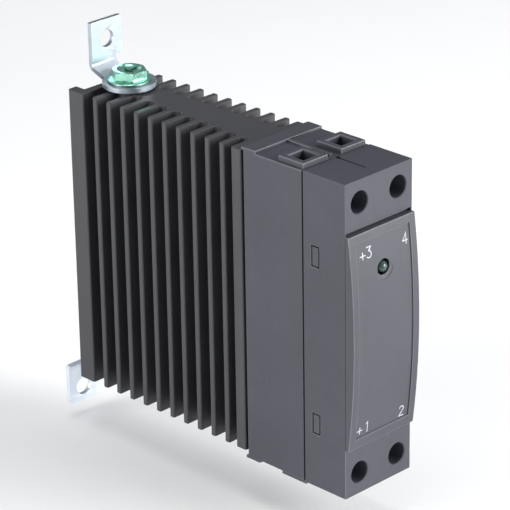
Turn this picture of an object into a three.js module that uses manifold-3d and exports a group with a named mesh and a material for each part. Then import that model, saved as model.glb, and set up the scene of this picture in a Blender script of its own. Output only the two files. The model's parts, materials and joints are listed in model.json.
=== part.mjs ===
// Solid state relay for a 35 mm rail: a 22.5 mm wide terminal housing on a finned heatsink.
// Millimetres. +Z is up, the terminal front faces -Y, and the origin lies on the face that
// rests against the rail, at the middle of the rail.
import * as THREE from 'three';
import { mergeVertices } from 'three/addons/utils/BufferGeometryUtils.js';
import Module from 'manifold-3d';

const wasm = await Module();
wasm.setup();

// ---------------------------------------------------------------- driving dimensions
const MODULE_WIDTH = 22.5;
const HALF_WIDTH = MODULE_WIDTH / 2;
const HOUSING_HEIGHT = 80;
const HALF_HEIGHT = HOUSING_HEIGHT / 2;
const FIT = 0.2; // gap kept between pieces that rest on each other
const WALL = 1.3; // moulded wall of both housing shells

// Heatsink extrusion, from its base plate at the front to the rail face at y = 0
const HEATSINK_DEPTH = 60.1;
const HEATSINK_TOP = 39.65;
const HEATSINK_BOTTOM = -38.8;
const BASE_PLATE = 3.25;
const FIN_COUNT = 10;
const FIN_PITCH = 4.896;
const FIN_THICKNESS = 1.62;
const FIRST_FIN = 5.64; // from the front of the base plate to the front of the first fin
const BACK_PLATE = 5.35;
const CHANNEL_DEPTH = 3; // channel in the back that takes the rail clip
const CHANNEL_HALF_WIDTH = 8.5;
const TIP_RADIUS = 0.45;
const FIN_SETBACK = 0.05; // fins end just inside the module width
const RELAY_HOLE_DEPTH = 6.2;
const CLIP_HOLE_RADIUS = 1.6;
const CLIP_HOLE_DEPTH = 9;
const EARTH_BOSS_RADIUS = 4;
const EARTH_HOLE_DEPTH = 10.05;
const WEB_LEFT = [4.7, 2.3]; // reach of the central web at the base plate and at the back plate
const WEB_RIGHT = [5.4, 4.0];

// Relay housing in front of the heatsink
const RELAY_DEPTH = 32.45;
const AIR_GAP = 0.9; // between the housing and the base plate
const COVER_DEPTH = 13.6; // depth of the front shell
const FRONT_Y = -(HEATSINK_DEPTH + AIR_GAP + RELAY_DEPTH);
const LEDGE_HEIGHT = 39.85; // recessed floors around the wire collars
const SHOULDER_HEIGHT = 40.55; // raised rear edge of the housing
const SHOULDER_DEPTH = 28.5; // where the raised edge begins, from the front
const LIP = [0.7, 39.8]; // lip of the raised edge over the air gap: its reach and underside
const BAY_HALF_HEIGHT = 27; // central electronics bay
const SHADOW_GROOVE_Z = [27.1, 27.95]; // groove across the cover above the lid
const SHADOW_GROOVE_DEPTH = 0.45;
const REBATE = 0.6; // depth of the dark joint round the back of the cover
const REBATE_WIDTH = 0.25;
const TOP_GROOVE_X = [-0.35, 0.15];
const TOP_GROOVE_DEPTH = 0.3;

// Terminals: a clamp screw across the front, a wire from above or below
const SCREW_X = 6.45;
const SCREW_Z = 34.4;
const SCREW_HEAD_DEPTH = 4.6;
const SCREW_HEAD_RADIUS = 2.8;
const SCREW_HEAD_HEIGHT = 1.9;
const SCREW_SHANK_RADIUS = 1.75;
const SCREW_TIP_DEPTH = 13.6;
const ACCESS_RADIUS = 2.7;
const WIRE_X = 6.3;
const WIRE_DEPTH = 17.8;
const WIRE_HOLE = [4.5, 4.7];
const COLLAR = [8.2, 8.1];
const COLLAR_HEIGHT = 41.2;
const FUNNEL_RIM = 1.55; // flat rim round the wire entry
const FUNNEL_DEPTH = 0.4;
const DIVIDER_HEIGHT = 0.55; // rib between the two wire entries, above the ledge
const POCKET_HALF = 3.85; // pocket that the clamp cage slides in
const POCKET_END = 22.4;
const CAGE_HALF_WIDTH = 3.4;
const CAGE_WALL = 0.9;
const CAGE_HALF_HEIGHT = 3.3;
const BAR_DEPTH = 13.9; // front face of each busbar
const BAR_THICKNESS = 1.2;
const BAR_WIDTH = 4.2;

// Label lid, crowned forward
const LID_GAP = 0.06; // between the lid and the front of the cover
const LID_HALF_WIDTH = 11.2;
const LID_HALF_HEIGHT = 27.15;
const LID_CROWN = 2.75;
const LID_EDGE = 0.95;
const LID_FIELD_HALF_WIDTH = 9.1;
const LID_FIELD = [-24.6, 25];
const LID_FIELD_DEPTH = 0.3;
const LID_SKIN = 1.5;
const LID_HOLLOW = [8.2, 22.5]; // half width and half height of the hollow behind the field
const LED_Z = 16.9;
const LED_RADIUS = 1.45;
const LED_TIP = -2.2; // the dome's tip stands in front of the cover
const LED_FLANGE = [2.6, 3.4];
const LED_FLANGE_RADIUS = 1.85;
const LEAD_X = 1.27;
const LEAD_HALF = 0.25;
const LEAD_DEPTH = [3.2, 17.8];
const LAMP_HOLE_RADIUS = 2.05;
const LAMP_SINK = [3.1, 2.3]; // outer and inner radius of the shallow dish round the lamp
const LAMP_SINK_DEPTH = 0.18;
const BOARD_DEPTH = [18, 19.6];
const SNAP_DEPTH = [8.2, 10.7];
const SNAP_WINDOWS = [[17, 22.3], [-26, -20.7]];

// Earth screw, bracket and rail latch
const EARTH_Y = -10.15;
const EARTH_HOLE = 2.75;
const BRACKET_THICKNESS = 1.2;
const BRACKET_TAB_X = [-4.8, 5.2];
const BRACKET_NECK = 3; // half width of the neck behind the round foot
const BRACKET_BENDS = [-4.4, -1.55]; // y of the two bends
const LATCH_THICKNESS = 1.3;
const LATCH_PLANE = 1.3; // front face of the latch plate behind the rail face
const HANDLE_PLANE = 4.5; // front face of its handle
const HANDLE_X = [-11.1, -1]; // left and right edge of the handle
const HANDLE_BOTTOM = -48.7;
const HANDLE_HOLE = [[-8.8, -3.8], [-47.1, -42.3]]; // its x and z spans
const SPRING_Z = [-28.6, -20.3];
const CLIP_SCREW_Z = 8;
const CLIP_SCREW_X = 0.8;
const RELAY_SCREW_Z = 32;
const RELAY_SCREW_HOLE = 1.75;

const TERMINALS = [
  { number: 1, side: -1, end: -1 },
  { number: 2, side: 1, end: -1 },
  { number: 3, side: -1, end: 1 },
  { number: 4, side: 1, end: 1 },
];

// Y of a place that lies a given depth behind the terminal front
const at = (depth) => FRONT_Y + depth;

// ---------------------------------------------------------------- materials
function finish(color, roughness, metalness) {
  return new THREE.MeshStandardMaterial({ color, roughness, metalness });
}

const anodised = finish(0x1b1b1e, 0.45, 0.6);
const blackPlastic = finish(0x26262b, 0.6, 0);
const lidPlastic = finish(0x2b2b30, 0.55, 0);
const zinc = finish(0xd3d8dc, 0.28, 1);
const greenZinc = finish(0x2f9070, 0.25, 0.9);
const plainSteel = finish(0xb4b6b8, 0.35, 1);
const springSteel = finish(0x9a9c9f, 0.3, 1);
const copper = finish(0xb87048, 0.35, 1);
const tinned = finish(0xc9c6bd, 0.35, 1);
const ceramic = finish(0xe8e6de, 0.6, 0);
const silicon = finish(0x3c3f4a, 0.3, 0.3);
const padGrey = finish(0x8d8f92, 0.9, 0);
const boardGreen = finish(0x1f5a36, 0.5, 0);
const packageBlack = finish(0x17171a, 0.5, 0);
const resistorBlue = finish(0x4a6f92, 0.5, 0);
const clearLens = finish(0x9fbfae, 0.1, 0);
const canAluminium = finish(0xa9abad, 0.35, 0.9);
const clipPlastic = finish(0x1f1f22, 0.65, 0);

// ---------------------------------------------------------------- geometry helpers
// Welds shared corners, leaves only positions and drops the empty triangles at a pole.
function weld(geometry) {
  const bare = geometry.clone();
  bare.deleteAttribute('normal');
  bare.deleteAttribute('uv');
  const welded = mergeVertices(bare, 1e-4);
  const index = welded.index.array;
  const kept = [];
  for (let i = 0; i < index.length; i += 3) {
    const [a, b, c] = index.slice(i, i + 3);
    if (a !== b && b !== c && c !== a) kept.push(a, b, c);
  }
  welded.setIndex(kept);
  return welded;
}

function solid(geometry) {
  const welded = weld(geometry);
  return new wasm.Manifold(new wasm.Mesh({
    numProp: 3,
    vertProperties: Float32Array.from(welded.attributes.position.array),
    triVerts: Uint32Array.from(welded.index.array),
  }));
}

function geometryOf(manifold) {
  const mesh = manifold.getMesh();
  const geometry = new THREE.BufferGeometry();
  geometry.setAttribute('position', new THREE.BufferAttribute(mesh.vertProperties, 3));
  geometry.setIndex(new THREE.BufferAttribute(mesh.triVerts, 1));
  geometry.computeVertexNormals();
  return geometry;
}

const cut = (body, tools) => tools.reduce((rest, tool) => rest.subtract(solid(tool)), body);
const join = (body, others) => others.reduce((sum, other) => sum.add(solid(other)), body);

function box(x, y, z) {
  const geometry = new THREE.BoxGeometry(x[1] - x[0], y[1] - y[0], z[1] - z[0]);
  return geometry.translate((x[0] + x[1]) / 2, (y[0] + y[1]) / 2, (z[0] + z[1]) / 2);
}

// The two ends of a span on the given side of zero, lowest first
const span = (side, near, far) => (side > 0 ? [near, far] : [-far, -near]);

// Cylinders and turned pieces whose axis runs along Y or Z
function rodY(radius, y, x = 0, z = 0, sides = 24) {
  const geometry = new THREE.CylinderGeometry(radius, radius, y[1] - y[0], sides);
  return geometry.translate(x, (y[0] + y[1]) / 2, z);
}

function rodZ(radius, z, x = 0, y = 0, sides = 24) {
  const geometry = new THREE.CylinderGeometry(radius, radius, z[1] - z[0], sides);
  return geometry.rotateX(Math.PI / 2).translate(x, y, (z[0] + z[1]) / 2);
}

// Turns a profile of [radius, y] pairs, listed from the low end to the high end, about Y.
function turnY(profile, sides = 24) {
  return new THREE.LatheGeometry(profile.map(([r, y]) => new THREE.Vector2(r, y)), sides);
}

const turnZ = (profile, sides = 24) => turnY(profile, sides).rotateX(Math.PI / 2);

function arc(centreU, centreV, radius, from, to, steps) {
  const points = [];
  for (let i = 0; i <= steps; i += 1) {
    const angle = THREE.MathUtils.degToRad(from + ((to - from) * i) / steps);
    points.push([centreU + radius * Math.cos(angle), centreV + radius * Math.sin(angle)]);
  }
  return points;
}

const ring = (u, v, radius, sides = 24) => arc(u, v, radius, 0, 360 - 360 / sides, sides - 1);

function roundedRectangle(u, v, radius, steps = 3) {
  return [
    ...arc(u[1] - radius, v[0] + radius, radius, -90, 0, steps),
    ...arc(u[1] - radius, v[1] - radius, radius, 0, 90, steps),
    ...arc(u[0] + radius, v[1] - radius, radius, 90, 180, steps),
    ...arc(u[0] + radius, v[0] + radius, radius, 180, 270, steps),
  ];
}

// Extrudes an outline of [u, v] pairs by the given distance along its own normal.
function prism(outline, distance, holes) {
  const toVectors = (points) => points.map(([u, v]) => new THREE.Vector2(u, v));
  const shape = new THREE.Shape(toVectors(outline));
  shape.holes = holes.map((hole) => new THREE.Path(toVectors(hole)));
  return new THREE.ExtrudeGeometry(shape, { depth: distance, bevelEnabled: false });
}

// Outline in X and Y, swept along Z
function prismZ(outline, z, holes = []) {
  return prism(outline, z[1] - z[0], holes).translate(0, 0, z[0]);
}

// Outline in Y and Z, swept along X
function prismX(outline, x, holes = []) {
  const turn = new THREE.Matrix4().makeBasis(
    new THREE.Vector3(0, 1, 0),
    new THREE.Vector3(0, 0, 1),
    new THREE.Vector3(1, 0, 0),
  );
  return prism(outline, x[1] - x[0], holes).applyMatrix4(turn).translate(x[0], 0, 0);
}

// Outline in X and Z, swept along Y
function prismY(outline, y, holes = []) {
  const turn = new THREE.Matrix4().makeRotationX(Math.PI / 2);
  return prism(outline, y[1] - y[0], holes).applyMatrix4(turn).translate(0, y[1], 0);
}

// Outline of a bent strip of even thickness around a centre line, with mitred bends
function strip(line, thickness) {
  const points = line.map(([u, v]) => new THREE.Vector2(u, v));
  const normals = points.slice(1).map((point, i) => {
    const along = point.clone().sub(points[i]).normalize();
    return new THREE.Vector2(-along.y, along.x);
  });
  const offsets = points.map((point, i) => {
    const before = normals[Math.max(i - 1, 0)];
    const after = normals[Math.min(i, normals.length - 1)];
    const middle = before.clone().add(after).normalize();
    return middle.multiplyScalar(thickness / 2 / middle.dot(after));
  });
  const left = points.map((point, i) => point.clone().add(offsets[i]));
  const right = points.map((point, i) => point.clone().sub(offsets[i]));
  return [...right, ...left.reverse()].map((point) => [point.x, point.y]);
}

const group = new THREE.Group();

function place(name, geometry, material, position = [0, 0, 0]) {
  const mesh = new THREE.Mesh(weld(geometry), material);
  mesh.geometry.computeVertexNormals();
  mesh.name = name;
  mesh.position.set(...position);
  group.add(mesh);
}

// ---------------------------------------------------------------- heatsink
// Front and back edge of every plate and fin, as y spans
function heatsinkLands() {
  const front = -HEATSINK_DEPTH;
  const fins = Array.from({ length: FIN_COUNT }, (_, i) => {
    const start = front + FIRST_FIN + i * FIN_PITCH;
    return [start, start + FIN_THICKNESS];
  });
  return [[front, front + BASE_PLATE], ...fins, [-BACK_PLATE, 0]];
}

// One side of the profile from front to back: fin tips joined by round-ended slots
function heatsinkSide(web) {
  const lands = heatsinkLands();
  const tip = HALF_WIDTH - FIN_SETBACK;
  const points = [];
  lands.forEach(([start, end], i) => {
    points.push(...arc(tip - TIP_RADIUS, start + TIP_RADIUS, TIP_RADIUS, -90, 0, 2));
    points.push(...arc(tip - TIP_RADIUS, end - TIP_RADIUS, TIP_RADIUS, 0, 90, 2));
    if (i === lands.length - 1) return;
    const radius = (lands[i + 1][0] - end) / 2;
    const reach = THREE.MathUtils.lerp(web[0], web[1], i / (lands.length - 2));
    points.push(...arc(reach + radius, end + radius, radius, 270, 90, 6));
  });
  return points;
}

function heatsink() {
  const right = heatsinkSide(WEB_RIGHT);
  const left = heatsinkSide(WEB_LEFT).map(([x, y]) => [-x, y]).reverse();
  const channel = [
    [CHANNEL_HALF_WIDTH, 0],
    [CHANNEL_HALF_WIDTH, -CHANNEL_DEPTH],
    [-CHANNEL_HALF_WIDTH, -CHANNEL_DEPTH],
    [-CHANNEL_HALF_WIDTH, 0],
  ];
  const height = [HEATSINK_BOTTOM, HEATSINK_TOP];
  const boss = rodZ(EARTH_BOSS_RADIUS, height, 0, EARTH_Y, 24);
  const body = join(solid(prismZ([...right, ...channel, ...left], height)), [boss]);
  const relayHoles = [-1, 1].map((end) => rodY(RELAY_SCREW_HOLE,
    [-HEATSINK_DEPTH - 1, -HEATSINK_DEPTH + RELAY_HOLE_DEPTH], 0, end * RELAY_SCREW_Z, 16));
  const clipHoles = [-1, 1].map((end) => rodY(CLIP_HOLE_RADIUS, [-CLIP_HOLE_DEPTH, -CHANNEL_DEPTH + 1],
    CLIP_SCREW_X, end * CLIP_SCREW_Z, 16));
  const earthHole = rodZ(EARTH_HOLE, [HEATSINK_TOP - EARTH_HOLE_DEPTH, HEATSINK_TOP + 1], 0, EARTH_Y, 20);
  return geometryOf(cut(body, [...relayHoles, ...clipHoles, earthHole]));
}

// ---------------------------------------------------------------- housing shells
const pocketX = (side) => span(side, SCREW_X - POCKET_HALF + 0.25, SCREW_X + POCKET_HALF - 0.25);
const pocketZ = (end) => span(end, SCREW_Z - POCKET_HALF, SCREW_Z + POCKET_HALF);
const bayX = [-HALF_WIDTH + WALL, HALF_WIDTH - WALL];

function frontCover() {
  const body = solid(box([-HALF_WIDTH, HALF_WIDTH], [at(0), at(COVER_DEPTH - FIT)],
    [-HALF_HEIGHT, HALF_HEIGHT]));
  const bay = box(bayX, [at(-1), at(COVER_DEPTH + 1)], [-26.2, 26.2]);
  const wideBay = box(bayX, [at(1.6), at(COVER_DEPTH + 1)], [-BAY_HALF_HEIGHT, BAY_HALF_HEIGHT]);
  const shadowGroove = box([-12, 12], [at(-1), at(SHADOW_GROOVE_DEPTH)], SHADOW_GROOVE_Z);
  const topGrooves = [-1, 1].map((end) => box(TOP_GROOVE_X, [at(3.9), at(COVER_DEPTH)],
    span(end, HALF_HEIGHT - TOP_GROOVE_DEPTH, HALF_HEIGHT + 1)));
  const terminalCuts = TERMINALS.flatMap(({ side, end }) => [
    box(pocketX(side), [at(6.7), at(COVER_DEPTH + 1)], pocketZ(end)),
    rodY(3.1, [at(4.3), at(7)], side * SCREW_X, end * SCREW_Z),
    rodY(ACCESS_RADIUS, [at(-1), at(4.5)], side * SCREW_X, end * SCREW_Z),
  ]);
  const snapWindows = SNAP_WINDOWS.flatMap((z) => [-1, 1].map((side) => box(
    span(side, HALF_WIDTH - WALL - 0.2, HALF_WIDTH + 1), SNAP_DEPTH.map(at), z)));
  const joint = [at(COVER_DEPTH - FIT - REBATE_WIDTH), at(COVER_DEPTH)];
  const inner = [HALF_WIDTH - REBATE, HALF_HEIGHT - REBATE];
  const rebate = solid(box([-HALF_WIDTH - 1, HALF_WIDTH + 1], joint, [-HALF_HEIGHT - 1, HALF_HEIGHT + 1]))
    .subtract(solid(box([-inner[0], inner[0]], joint, [-inner[1], inner[1]])));
  const shell = cut(body.subtract(rebate),
    [bay, wideBay, shadowGroove, ...topGrooves, ...terminalCuts, ...snapWindows]);
  return geometryOf(shell);
}

// Square collar with a flat rim and a funnel that narrows to the wire hole
function wireCollar(side, end) {
  const half = [COLLAR[0] / 2, COLLAR[1] / 2];
  return box([side * WIRE_X - half[0], side * WIRE_X + half[0]],
    [at(WIRE_DEPTH - half[1]), at(WIRE_DEPTH + half[1])], span(end, LEDGE_HEIGHT - 1, COLLAR_HEIGHT));
}

function wireFunnel(side, end) {
  const top = [COLLAR[0] - 2 * FUNNEL_RIM, COLLAR[1] - 2 * FUNNEL_RIM];
  // A four-sided cone frustum, turned so that its faces are square to X and Y
  const funnel = new THREE.CylinderGeometry(Math.SQRT1_2, Math.SQRT1_2, 1, 4, 1);
  funnel.rotateY(Math.PI / 4).rotateX(Math.PI / 2);
  const position = funnel.attributes.position;
  for (let i = 0; i < position.count; i += 1) {
    const outer = position.getZ(i) > 0;
    const size = outer ? top : WIRE_HOLE;
    const height = outer ? COLLAR_HEIGHT + 0.01 : COLLAR_HEIGHT - FUNNEL_DEPTH;
    position.setXYZ(i, position.getX(i) * size[0], position.getY(i) * size[1], height);
  }
  if (end < 0) funnel.rotateY(Math.PI);
  return funnel.translate(side * WIRE_X, at(WIRE_DEPTH), 0);
}

function wireHole(side, end) {
  return box([side * WIRE_X - WIRE_HOLE[0] / 2, side * WIRE_X + WIRE_HOLE[0] / 2],
    [at(WIRE_DEPTH - WIRE_HOLE[1] / 2), at(WIRE_DEPTH + WIRE_HOLE[1] / 2)],
    span(end, SCREW_Z, COLLAR_HEIGHT + 1));
}

function rearHousing() {
  const width = [-HALF_WIDTH, HALF_WIDTH];
  const [lipReach, lipUnderside] = LIP;
  const outline = [
    [at(COVER_DEPTH), -LEDGE_HEIGHT],
    [at(SHOULDER_DEPTH), -LEDGE_HEIGHT],
    [at(SHOULDER_DEPTH), -SHOULDER_HEIGHT],
    [at(RELAY_DEPTH + lipReach), -SHOULDER_HEIGHT],
    [at(RELAY_DEPTH + lipReach), -lipUnderside],
    [at(RELAY_DEPTH), -lipUnderside],
    [at(RELAY_DEPTH), lipUnderside],
    [at(RELAY_DEPTH + lipReach), lipUnderside],
    [at(RELAY_DEPTH + lipReach), SHOULDER_HEIGHT],
    [at(SHOULDER_DEPTH), SHOULDER_HEIGHT],
    [at(SHOULDER_DEPTH), LEDGE_HEIGHT],
    [at(COVER_DEPTH), LEDGE_HEIGHT],
  ];
  const collars = TERMINALS.map(({ side, end }) => wireCollar(side, end));
  const ribs = [-1, 1].map((end) => box([-0.5, 0.5], [at(15), at(SHOULDER_DEPTH + 1)],
    span(end, LEDGE_HEIGHT - 1, LEDGE_HEIGHT + DIVIDER_HEIGHT)));
  const body = join(solid(prismX(outline, width)), [...collars, ...ribs]);

  const open = at(COVER_DEPTH - 1);
  const back = at(RELAY_DEPTH - WALL);
  const bay = box(bayX, [open, back], [-BAY_HALF_HEIGHT, BAY_HALF_HEIGHT]);
  const screwBays = [-1, 1].map((end) => box(bayX, [at(POCKET_END + 1.2), back], span(end, 26, 37.5)));
  const window = box([-8.7, 8.7], [at(RELAY_DEPTH - 2), at(RELAY_DEPTH + 1)], [-17.2, 17.2]);
  const screwHoles = [-1, 1].map((end) => rodY(RELAY_SCREW_HOLE, [at(30), at(RELAY_DEPTH + 1)],
    0, end * RELAY_SCREW_Z, 16));
  const terminalCuts = TERMINALS.flatMap(({ side, end }) => [
    box(pocketX(side), [open, at(POCKET_END)], pocketZ(end)),
    box(span(side, SCREW_X - 2.6, SCREW_X + 2.6), [open, at(15.6)], span(end, 26, 31)),
    wireFunnel(side, end),
    wireHole(side, end),
  ]);
  return geometryOf(cut(body, [bay, ...screwBays, window, ...screwHoles, ...terminalCuts]));
}

// ---------------------------------------------------------------- label lid
const LID_RADIUS = (() => {
  const rise = LID_CROWN - LID_EDGE;
  return (LID_HALF_HEIGHT ** 2 + rise ** 2) / (2 * rise);
})();

// Front surface of the lid, set back by an inset, between two heights
function lidArc(inset, low, high, steps = 14) {
  return Array.from({ length: steps + 1 }, (_, i) => {
    const z = low + ((high - low) * i) / steps;
    return [at(inset - LID_CROWN) + LID_RADIUS - Math.sqrt(LID_RADIUS ** 2 - z ** 2), z];
  });
}

function lidArm(side, [low, high]) {
  const reach = HALF_WIDTH - WALL - 0.25;
  const z = [low + 0.3, high - 0.3];
  const arm = box(span(side, reach - 0.9, reach), [at(-0.6), at(SNAP_DEPTH[1] + 0.6)], z);
  const nib = box(span(side, reach - 0.1, HALF_WIDTH - 0.1),
    [at(SNAP_DEPTH[0] + 0.3), at(SNAP_DEPTH[1] - 0.3)], z);
  return [arm, nib];
}

function labelLid() {
  const height = LID_HALF_HEIGHT;
  const front = lidArc(0, -height, height);
  const body = solid(prismX([...front.reverse(), [at(-LID_GAP), -height], [at(-LID_GAP), height]],
    [-LID_HALF_WIDTH, LID_HALF_WIDTH]));
  const [low, high] = LID_FIELD;
  const fieldFloor = lidArc(LID_FIELD_DEPTH, low, high).reverse();
  const field = prismX([...fieldFloor, [at(-5), low], [at(-5), high]],
    [-LID_FIELD_HALF_WIDTH, LID_FIELD_HALF_WIDTH]);
  const [hollowWidth, hollowHeight] = LID_HOLLOW;
  const hollowFloor = lidArc(LID_SKIN, -hollowHeight, hollowHeight);
  const hollow = prismX([...hollowFloor, [at(1), hollowHeight], [at(1), -hollowHeight]],
    [-hollowWidth, hollowWidth]);
  const arms = SNAP_WINDOWS.flatMap((z) => [-1, 1].flatMap((side) => lidArm(side, z)));
  const lensY = lidArc(LID_FIELD_DEPTH, LED_Z, LED_Z + 1)[0][0];
  const lensHole = rodY(LAMP_HOLE_RADIUS, [at(-5), at(2)], 0, LED_Z, 28);
  const sinkFloor = lensY + LAMP_SINK_DEPTH;
  const [sinkOuter, sinkInner] = LAMP_SINK;
  const sink = turnY([[0, lensY - 1], [sinkOuter, lensY - 1], [sinkOuter, lensY],
    [sinkInner, sinkFloor], [0, sinkFloor]], 28).translate(0, 0, LED_Z);
  return geometryOf(cut(join(cut(body, [field, hollow]), arms), [lensHole, sink]));
}

// ---------------------------------------------------------------- status light and electronics
function statusLed() {
  const [flangeFront, flangeBack] = LED_FLANGE.map(at);
  const dome = arc(0, at(LED_TIP + LED_RADIUS), LED_RADIUS, -90, 0, 6);
  dome[0][0] = 0;
  const body = solid(turnY([...dome, [LED_RADIUS, flangeFront], [LED_FLANGE_RADIUS, flangeFront],
    [LED_FLANGE_RADIUS, flangeBack], [0, flangeBack]]).translate(0, 0, LED_Z));
  const leads = [-LEAD_X, LEAD_X].map((x) => box([x - LEAD_HALF, x + LEAD_HALF], LEAD_DEPTH.map(at),
    [LED_Z - LEAD_HALF, LED_Z + LEAD_HALF]));
  return geometryOf(join(body, leads));
}

function ledSpacer() {
  const half = LEAD_HALF + 0.3;
  const slots = [-LEAD_X, LEAD_X].map((x) => box([x - half, x + half], [at(3), at(18)],
    [LED_Z - half, LED_Z + half]));
  const tube = rodY(2.3, [at(LED_FLANGE[1] + FIT), at(BOARD_DEPTH[0] - FIT)], 0, LED_Z);
  return geometryOf(cut(solid(tube), slots));
}

function controlBoard() {
  const board = prismY(roundedRectangle([-9.4, 9.4], [-23.5, 26.4], 0.8), BOARD_DEPTH.map(at));
  const holes = [-1, 1].map((x) => rodY(0.9, [at(17), at(21)], x * 8, 0, 12));
  return geometryOf(cut(solid(board), holes));
}

// A flat package with gull-wing or pin rows along its two long sides
function chipPackage(size, pins, pinPitch) {
  const [x, y, z] = size.map((side) => side / 2);
  const legs = [];
  for (let i = 0; i < pins; i += 1) {
    const z0 = (i - (pins - 1) / 2) * pinPitch;
    [-1, 1].forEach((side) => {
      legs.push(box(span(side, x - 0.2, x + 0.6), [-0.1, 0.2], [z0 - 0.25, z0 + 0.25]));
      legs.push(box(span(side, x + 0.35, x + 0.6), [-0.1, y], [z0 - 0.25, z0 + 0.25]));
    });
  }
  return geometryOf(join(solid(box([-x, x], [-y, y - 0.15], [-z, z])), legs));
}

function capacitor() {
  const radius = 2.5;
  return turnY([[0, 0], [radius - 0.3, 0], [radius, 0.3], [radius, 5.6], [radius - 0.25, 5.85],
    [radius - 0.25, 6.3], [radius, 6.5], [radius, 7.2], [0, 7.2]], 20);
}

// Small cylindrical resistor with two end caps, its axis along Z
function resistor() {
  return turnZ([[0, -2.9], [1.05, -2.9], [1.05, -2], [0.9, -1.8], [0.9, 1.8], [1.05, 2],
    [1.05, 2.9], [0, 2.9]], 12);
}

// ---------------------------------------------------------------- power stage
function heatSpreader() {
  return prismY(roundedRectangle([-8.4, 8.4], [-16.9, 16.9], 1), [at(30.4), at(RELAY_DEPTH - 0.1)]);
}

function thermalPad() {
  return prismY(roundedRectangle([-8.2, 8.2], [-16.7, 16.7], 1),
    [at(RELAY_DEPTH), at(RELAY_DEPTH + AIR_GAP - 0.1)]);
}

function ceramicPlate() {
  return box([-7.8, 7.8], [at(29.6), at(30.3)], [-16.2, 16.2]);
}

// ---------------------------------------------------------------- terminals
// Outputs run back to the power stage; inputs end at the control board.
function busbar(end) {
  const middle = BAR_DEPTH + BAR_THICKNESS / 2;
  const top = [at(middle), end * 37.4];
  const knee = end * 25.6;
  const line = end < 0
    ? [top, [at(middle), knee], [at(28.9), knee], [at(28.9), end * 12.5]]
    : [top, [at(middle), knee], [at(17.8), knee]];
  return prismX(strip(line, BAR_THICKNESS), [-BAR_WIDTH / 2, BAR_WIDTH / 2]);
}

// A rectangular loop round the wire space, threaded for the screw in its front wall
function clampCage() {
  const width = [-CAGE_HALF_WIDTH, CAGE_HALF_WIDTH];
  const inner = [-CAGE_HALF_WIDTH + CAGE_WALL, CAGE_HALF_WIDTH - CAGE_WALL];
  const outline = roundedRectangle(width, [at(10.9), at(21.6)], 0.5, 2);
  const space = [[inner[0], at(12.9)], [inner[0], at(20.4)], [inner[1], at(20.4)], [inner[1], at(12.9)]];
  const loop = prismZ(outline, [-CAGE_HALF_HEIGHT, CAGE_HALF_HEIGHT], [space]);
  return geometryOf(cut(solid(loop), [rodY(2.1, [at(10), at(13.5)])]));
}

function clampScrew() {
  const head = at(SCREW_HEAD_DEPTH);
  const seat = head + SCREW_HEAD_HEIGHT;
  const tip = at(SCREW_TIP_DEPTH);
  const profile = [[0, head], [SCREW_HEAD_RADIUS - 0.35, head], [SCREW_HEAD_RADIUS, head + 0.35],
    [SCREW_HEAD_RADIUS, seat], [SCREW_SHANK_RADIUS, seat], [SCREW_SHANK_RADIUS, tip - 0.5],
    [SCREW_SHANK_RADIUS - 0.45, tip], [0, tip]];
  const slot = box([-3, 3], [head - 1, head + 0.9], [-0.4, 0.4]);
  const cross = box([-0.4, 0.4], [head - 1, head + 1.2], [-1.8, 1.8]);
  return geometryOf(cut(solid(turnY(profile)), [slot, cross]));
}

// Pan head screw along +Y, head first, its shank starting at y = 0
function panScrew(headRadius, headHeight, shankRadius, length) {
  const profile = [[0, -headHeight], [headRadius * 0.75, -headHeight],
    [headRadius, -headHeight * 0.55], [headRadius, 0], [shankRadius, 0], [shankRadius, length - 0.5],
    [shankRadius * 0.6, length], [0, length]];
  const recess = [box([-1.3, 1.3], [-headHeight - 1, -headHeight * 0.35], [-0.35, 0.35]),
    box([-0.35, 0.35], [-headHeight - 1, -headHeight * 0.35], [-1.3, 1.3])];
  return geometryOf(cut(solid(turnY(profile, 20)), recess));
}

// ---------------------------------------------------------------- earth screw and bracket
const EARTH_HEX_WIDTH = 8;
const EARTH_STACK = {
  toothWasher: [HEATSINK_TOP + 0.05, 40.25],
  foot: [40.3, 40.3 + BRACKET_THICKNESS],
  captiveWasher: [41.55, 41.8],
  flange: [41.85, 42.35],
  head: 44.5,
};

function toothWasher() {
  const teeth = 12;
  const outline = Array.from({ length: teeth * 4 }, (_, i) => {
    const radius = i % 4 < 2 ? 4.7 : 4;
    const angle = (2 * Math.PI * (i + 0.5)) / (teeth * 4);
    return [radius * Math.cos(angle), EARTH_Y + radius * Math.sin(angle)];
  });
  return prismZ(outline, EARTH_STACK.toothWasher, [ring(0, EARTH_Y, EARTH_HOLE)]);
}

// Round foot under the screw, a ramp that widens to the left, and an upright tab with a hole
function earthBracket() {
  const [low, high] = EARTH_STACK.foot;
  const middle = (low + high) / 2;
  const [footBend, tabBend] = BRACKET_BENDS;
  const shoulder = 45.5;
  const line = [[EARTH_Y, middle], [footBend, middle], [tabBend, 44.3], [tabBend, 55.4]];
  const [left, right] = BRACKET_TAB_X;
  const arm = cut(solid(prismX(strip(line, BRACKET_THICKNESS), BRACKET_TAB_X)), [
    box([BRACKET_NECK, right + 1], [EARTH_Y - 1, 1], [low - 1, shoulder]),
    prismZ([[left - 1, EARTH_Y - 1], [-BRACKET_NECK, EARTH_Y - 1], [-BRACKET_NECK, footBend],
      [left, tabBend - 0.6], [left - 1, tabBend - 0.6]], [low - 1, shoulder]),
  ]);
  const foot = cut(solid(rodZ(6.7, [low, high], 0, EARTH_Y, 48)),
    [box([-8, 8], [footBend, 0], [low - 1, high + 1])]);
  const footHole = rodZ(EARTH_HOLE, [low - 1, high + 1], 0, EARTH_Y, 24);
  const tabHole = rodY(2.25, [tabBend - 2, tabBend + 2], 0.2, 50.4, 32);
  return geometryOf(cut(arm.add(foot), [footHole, tabHole]));
}

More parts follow.
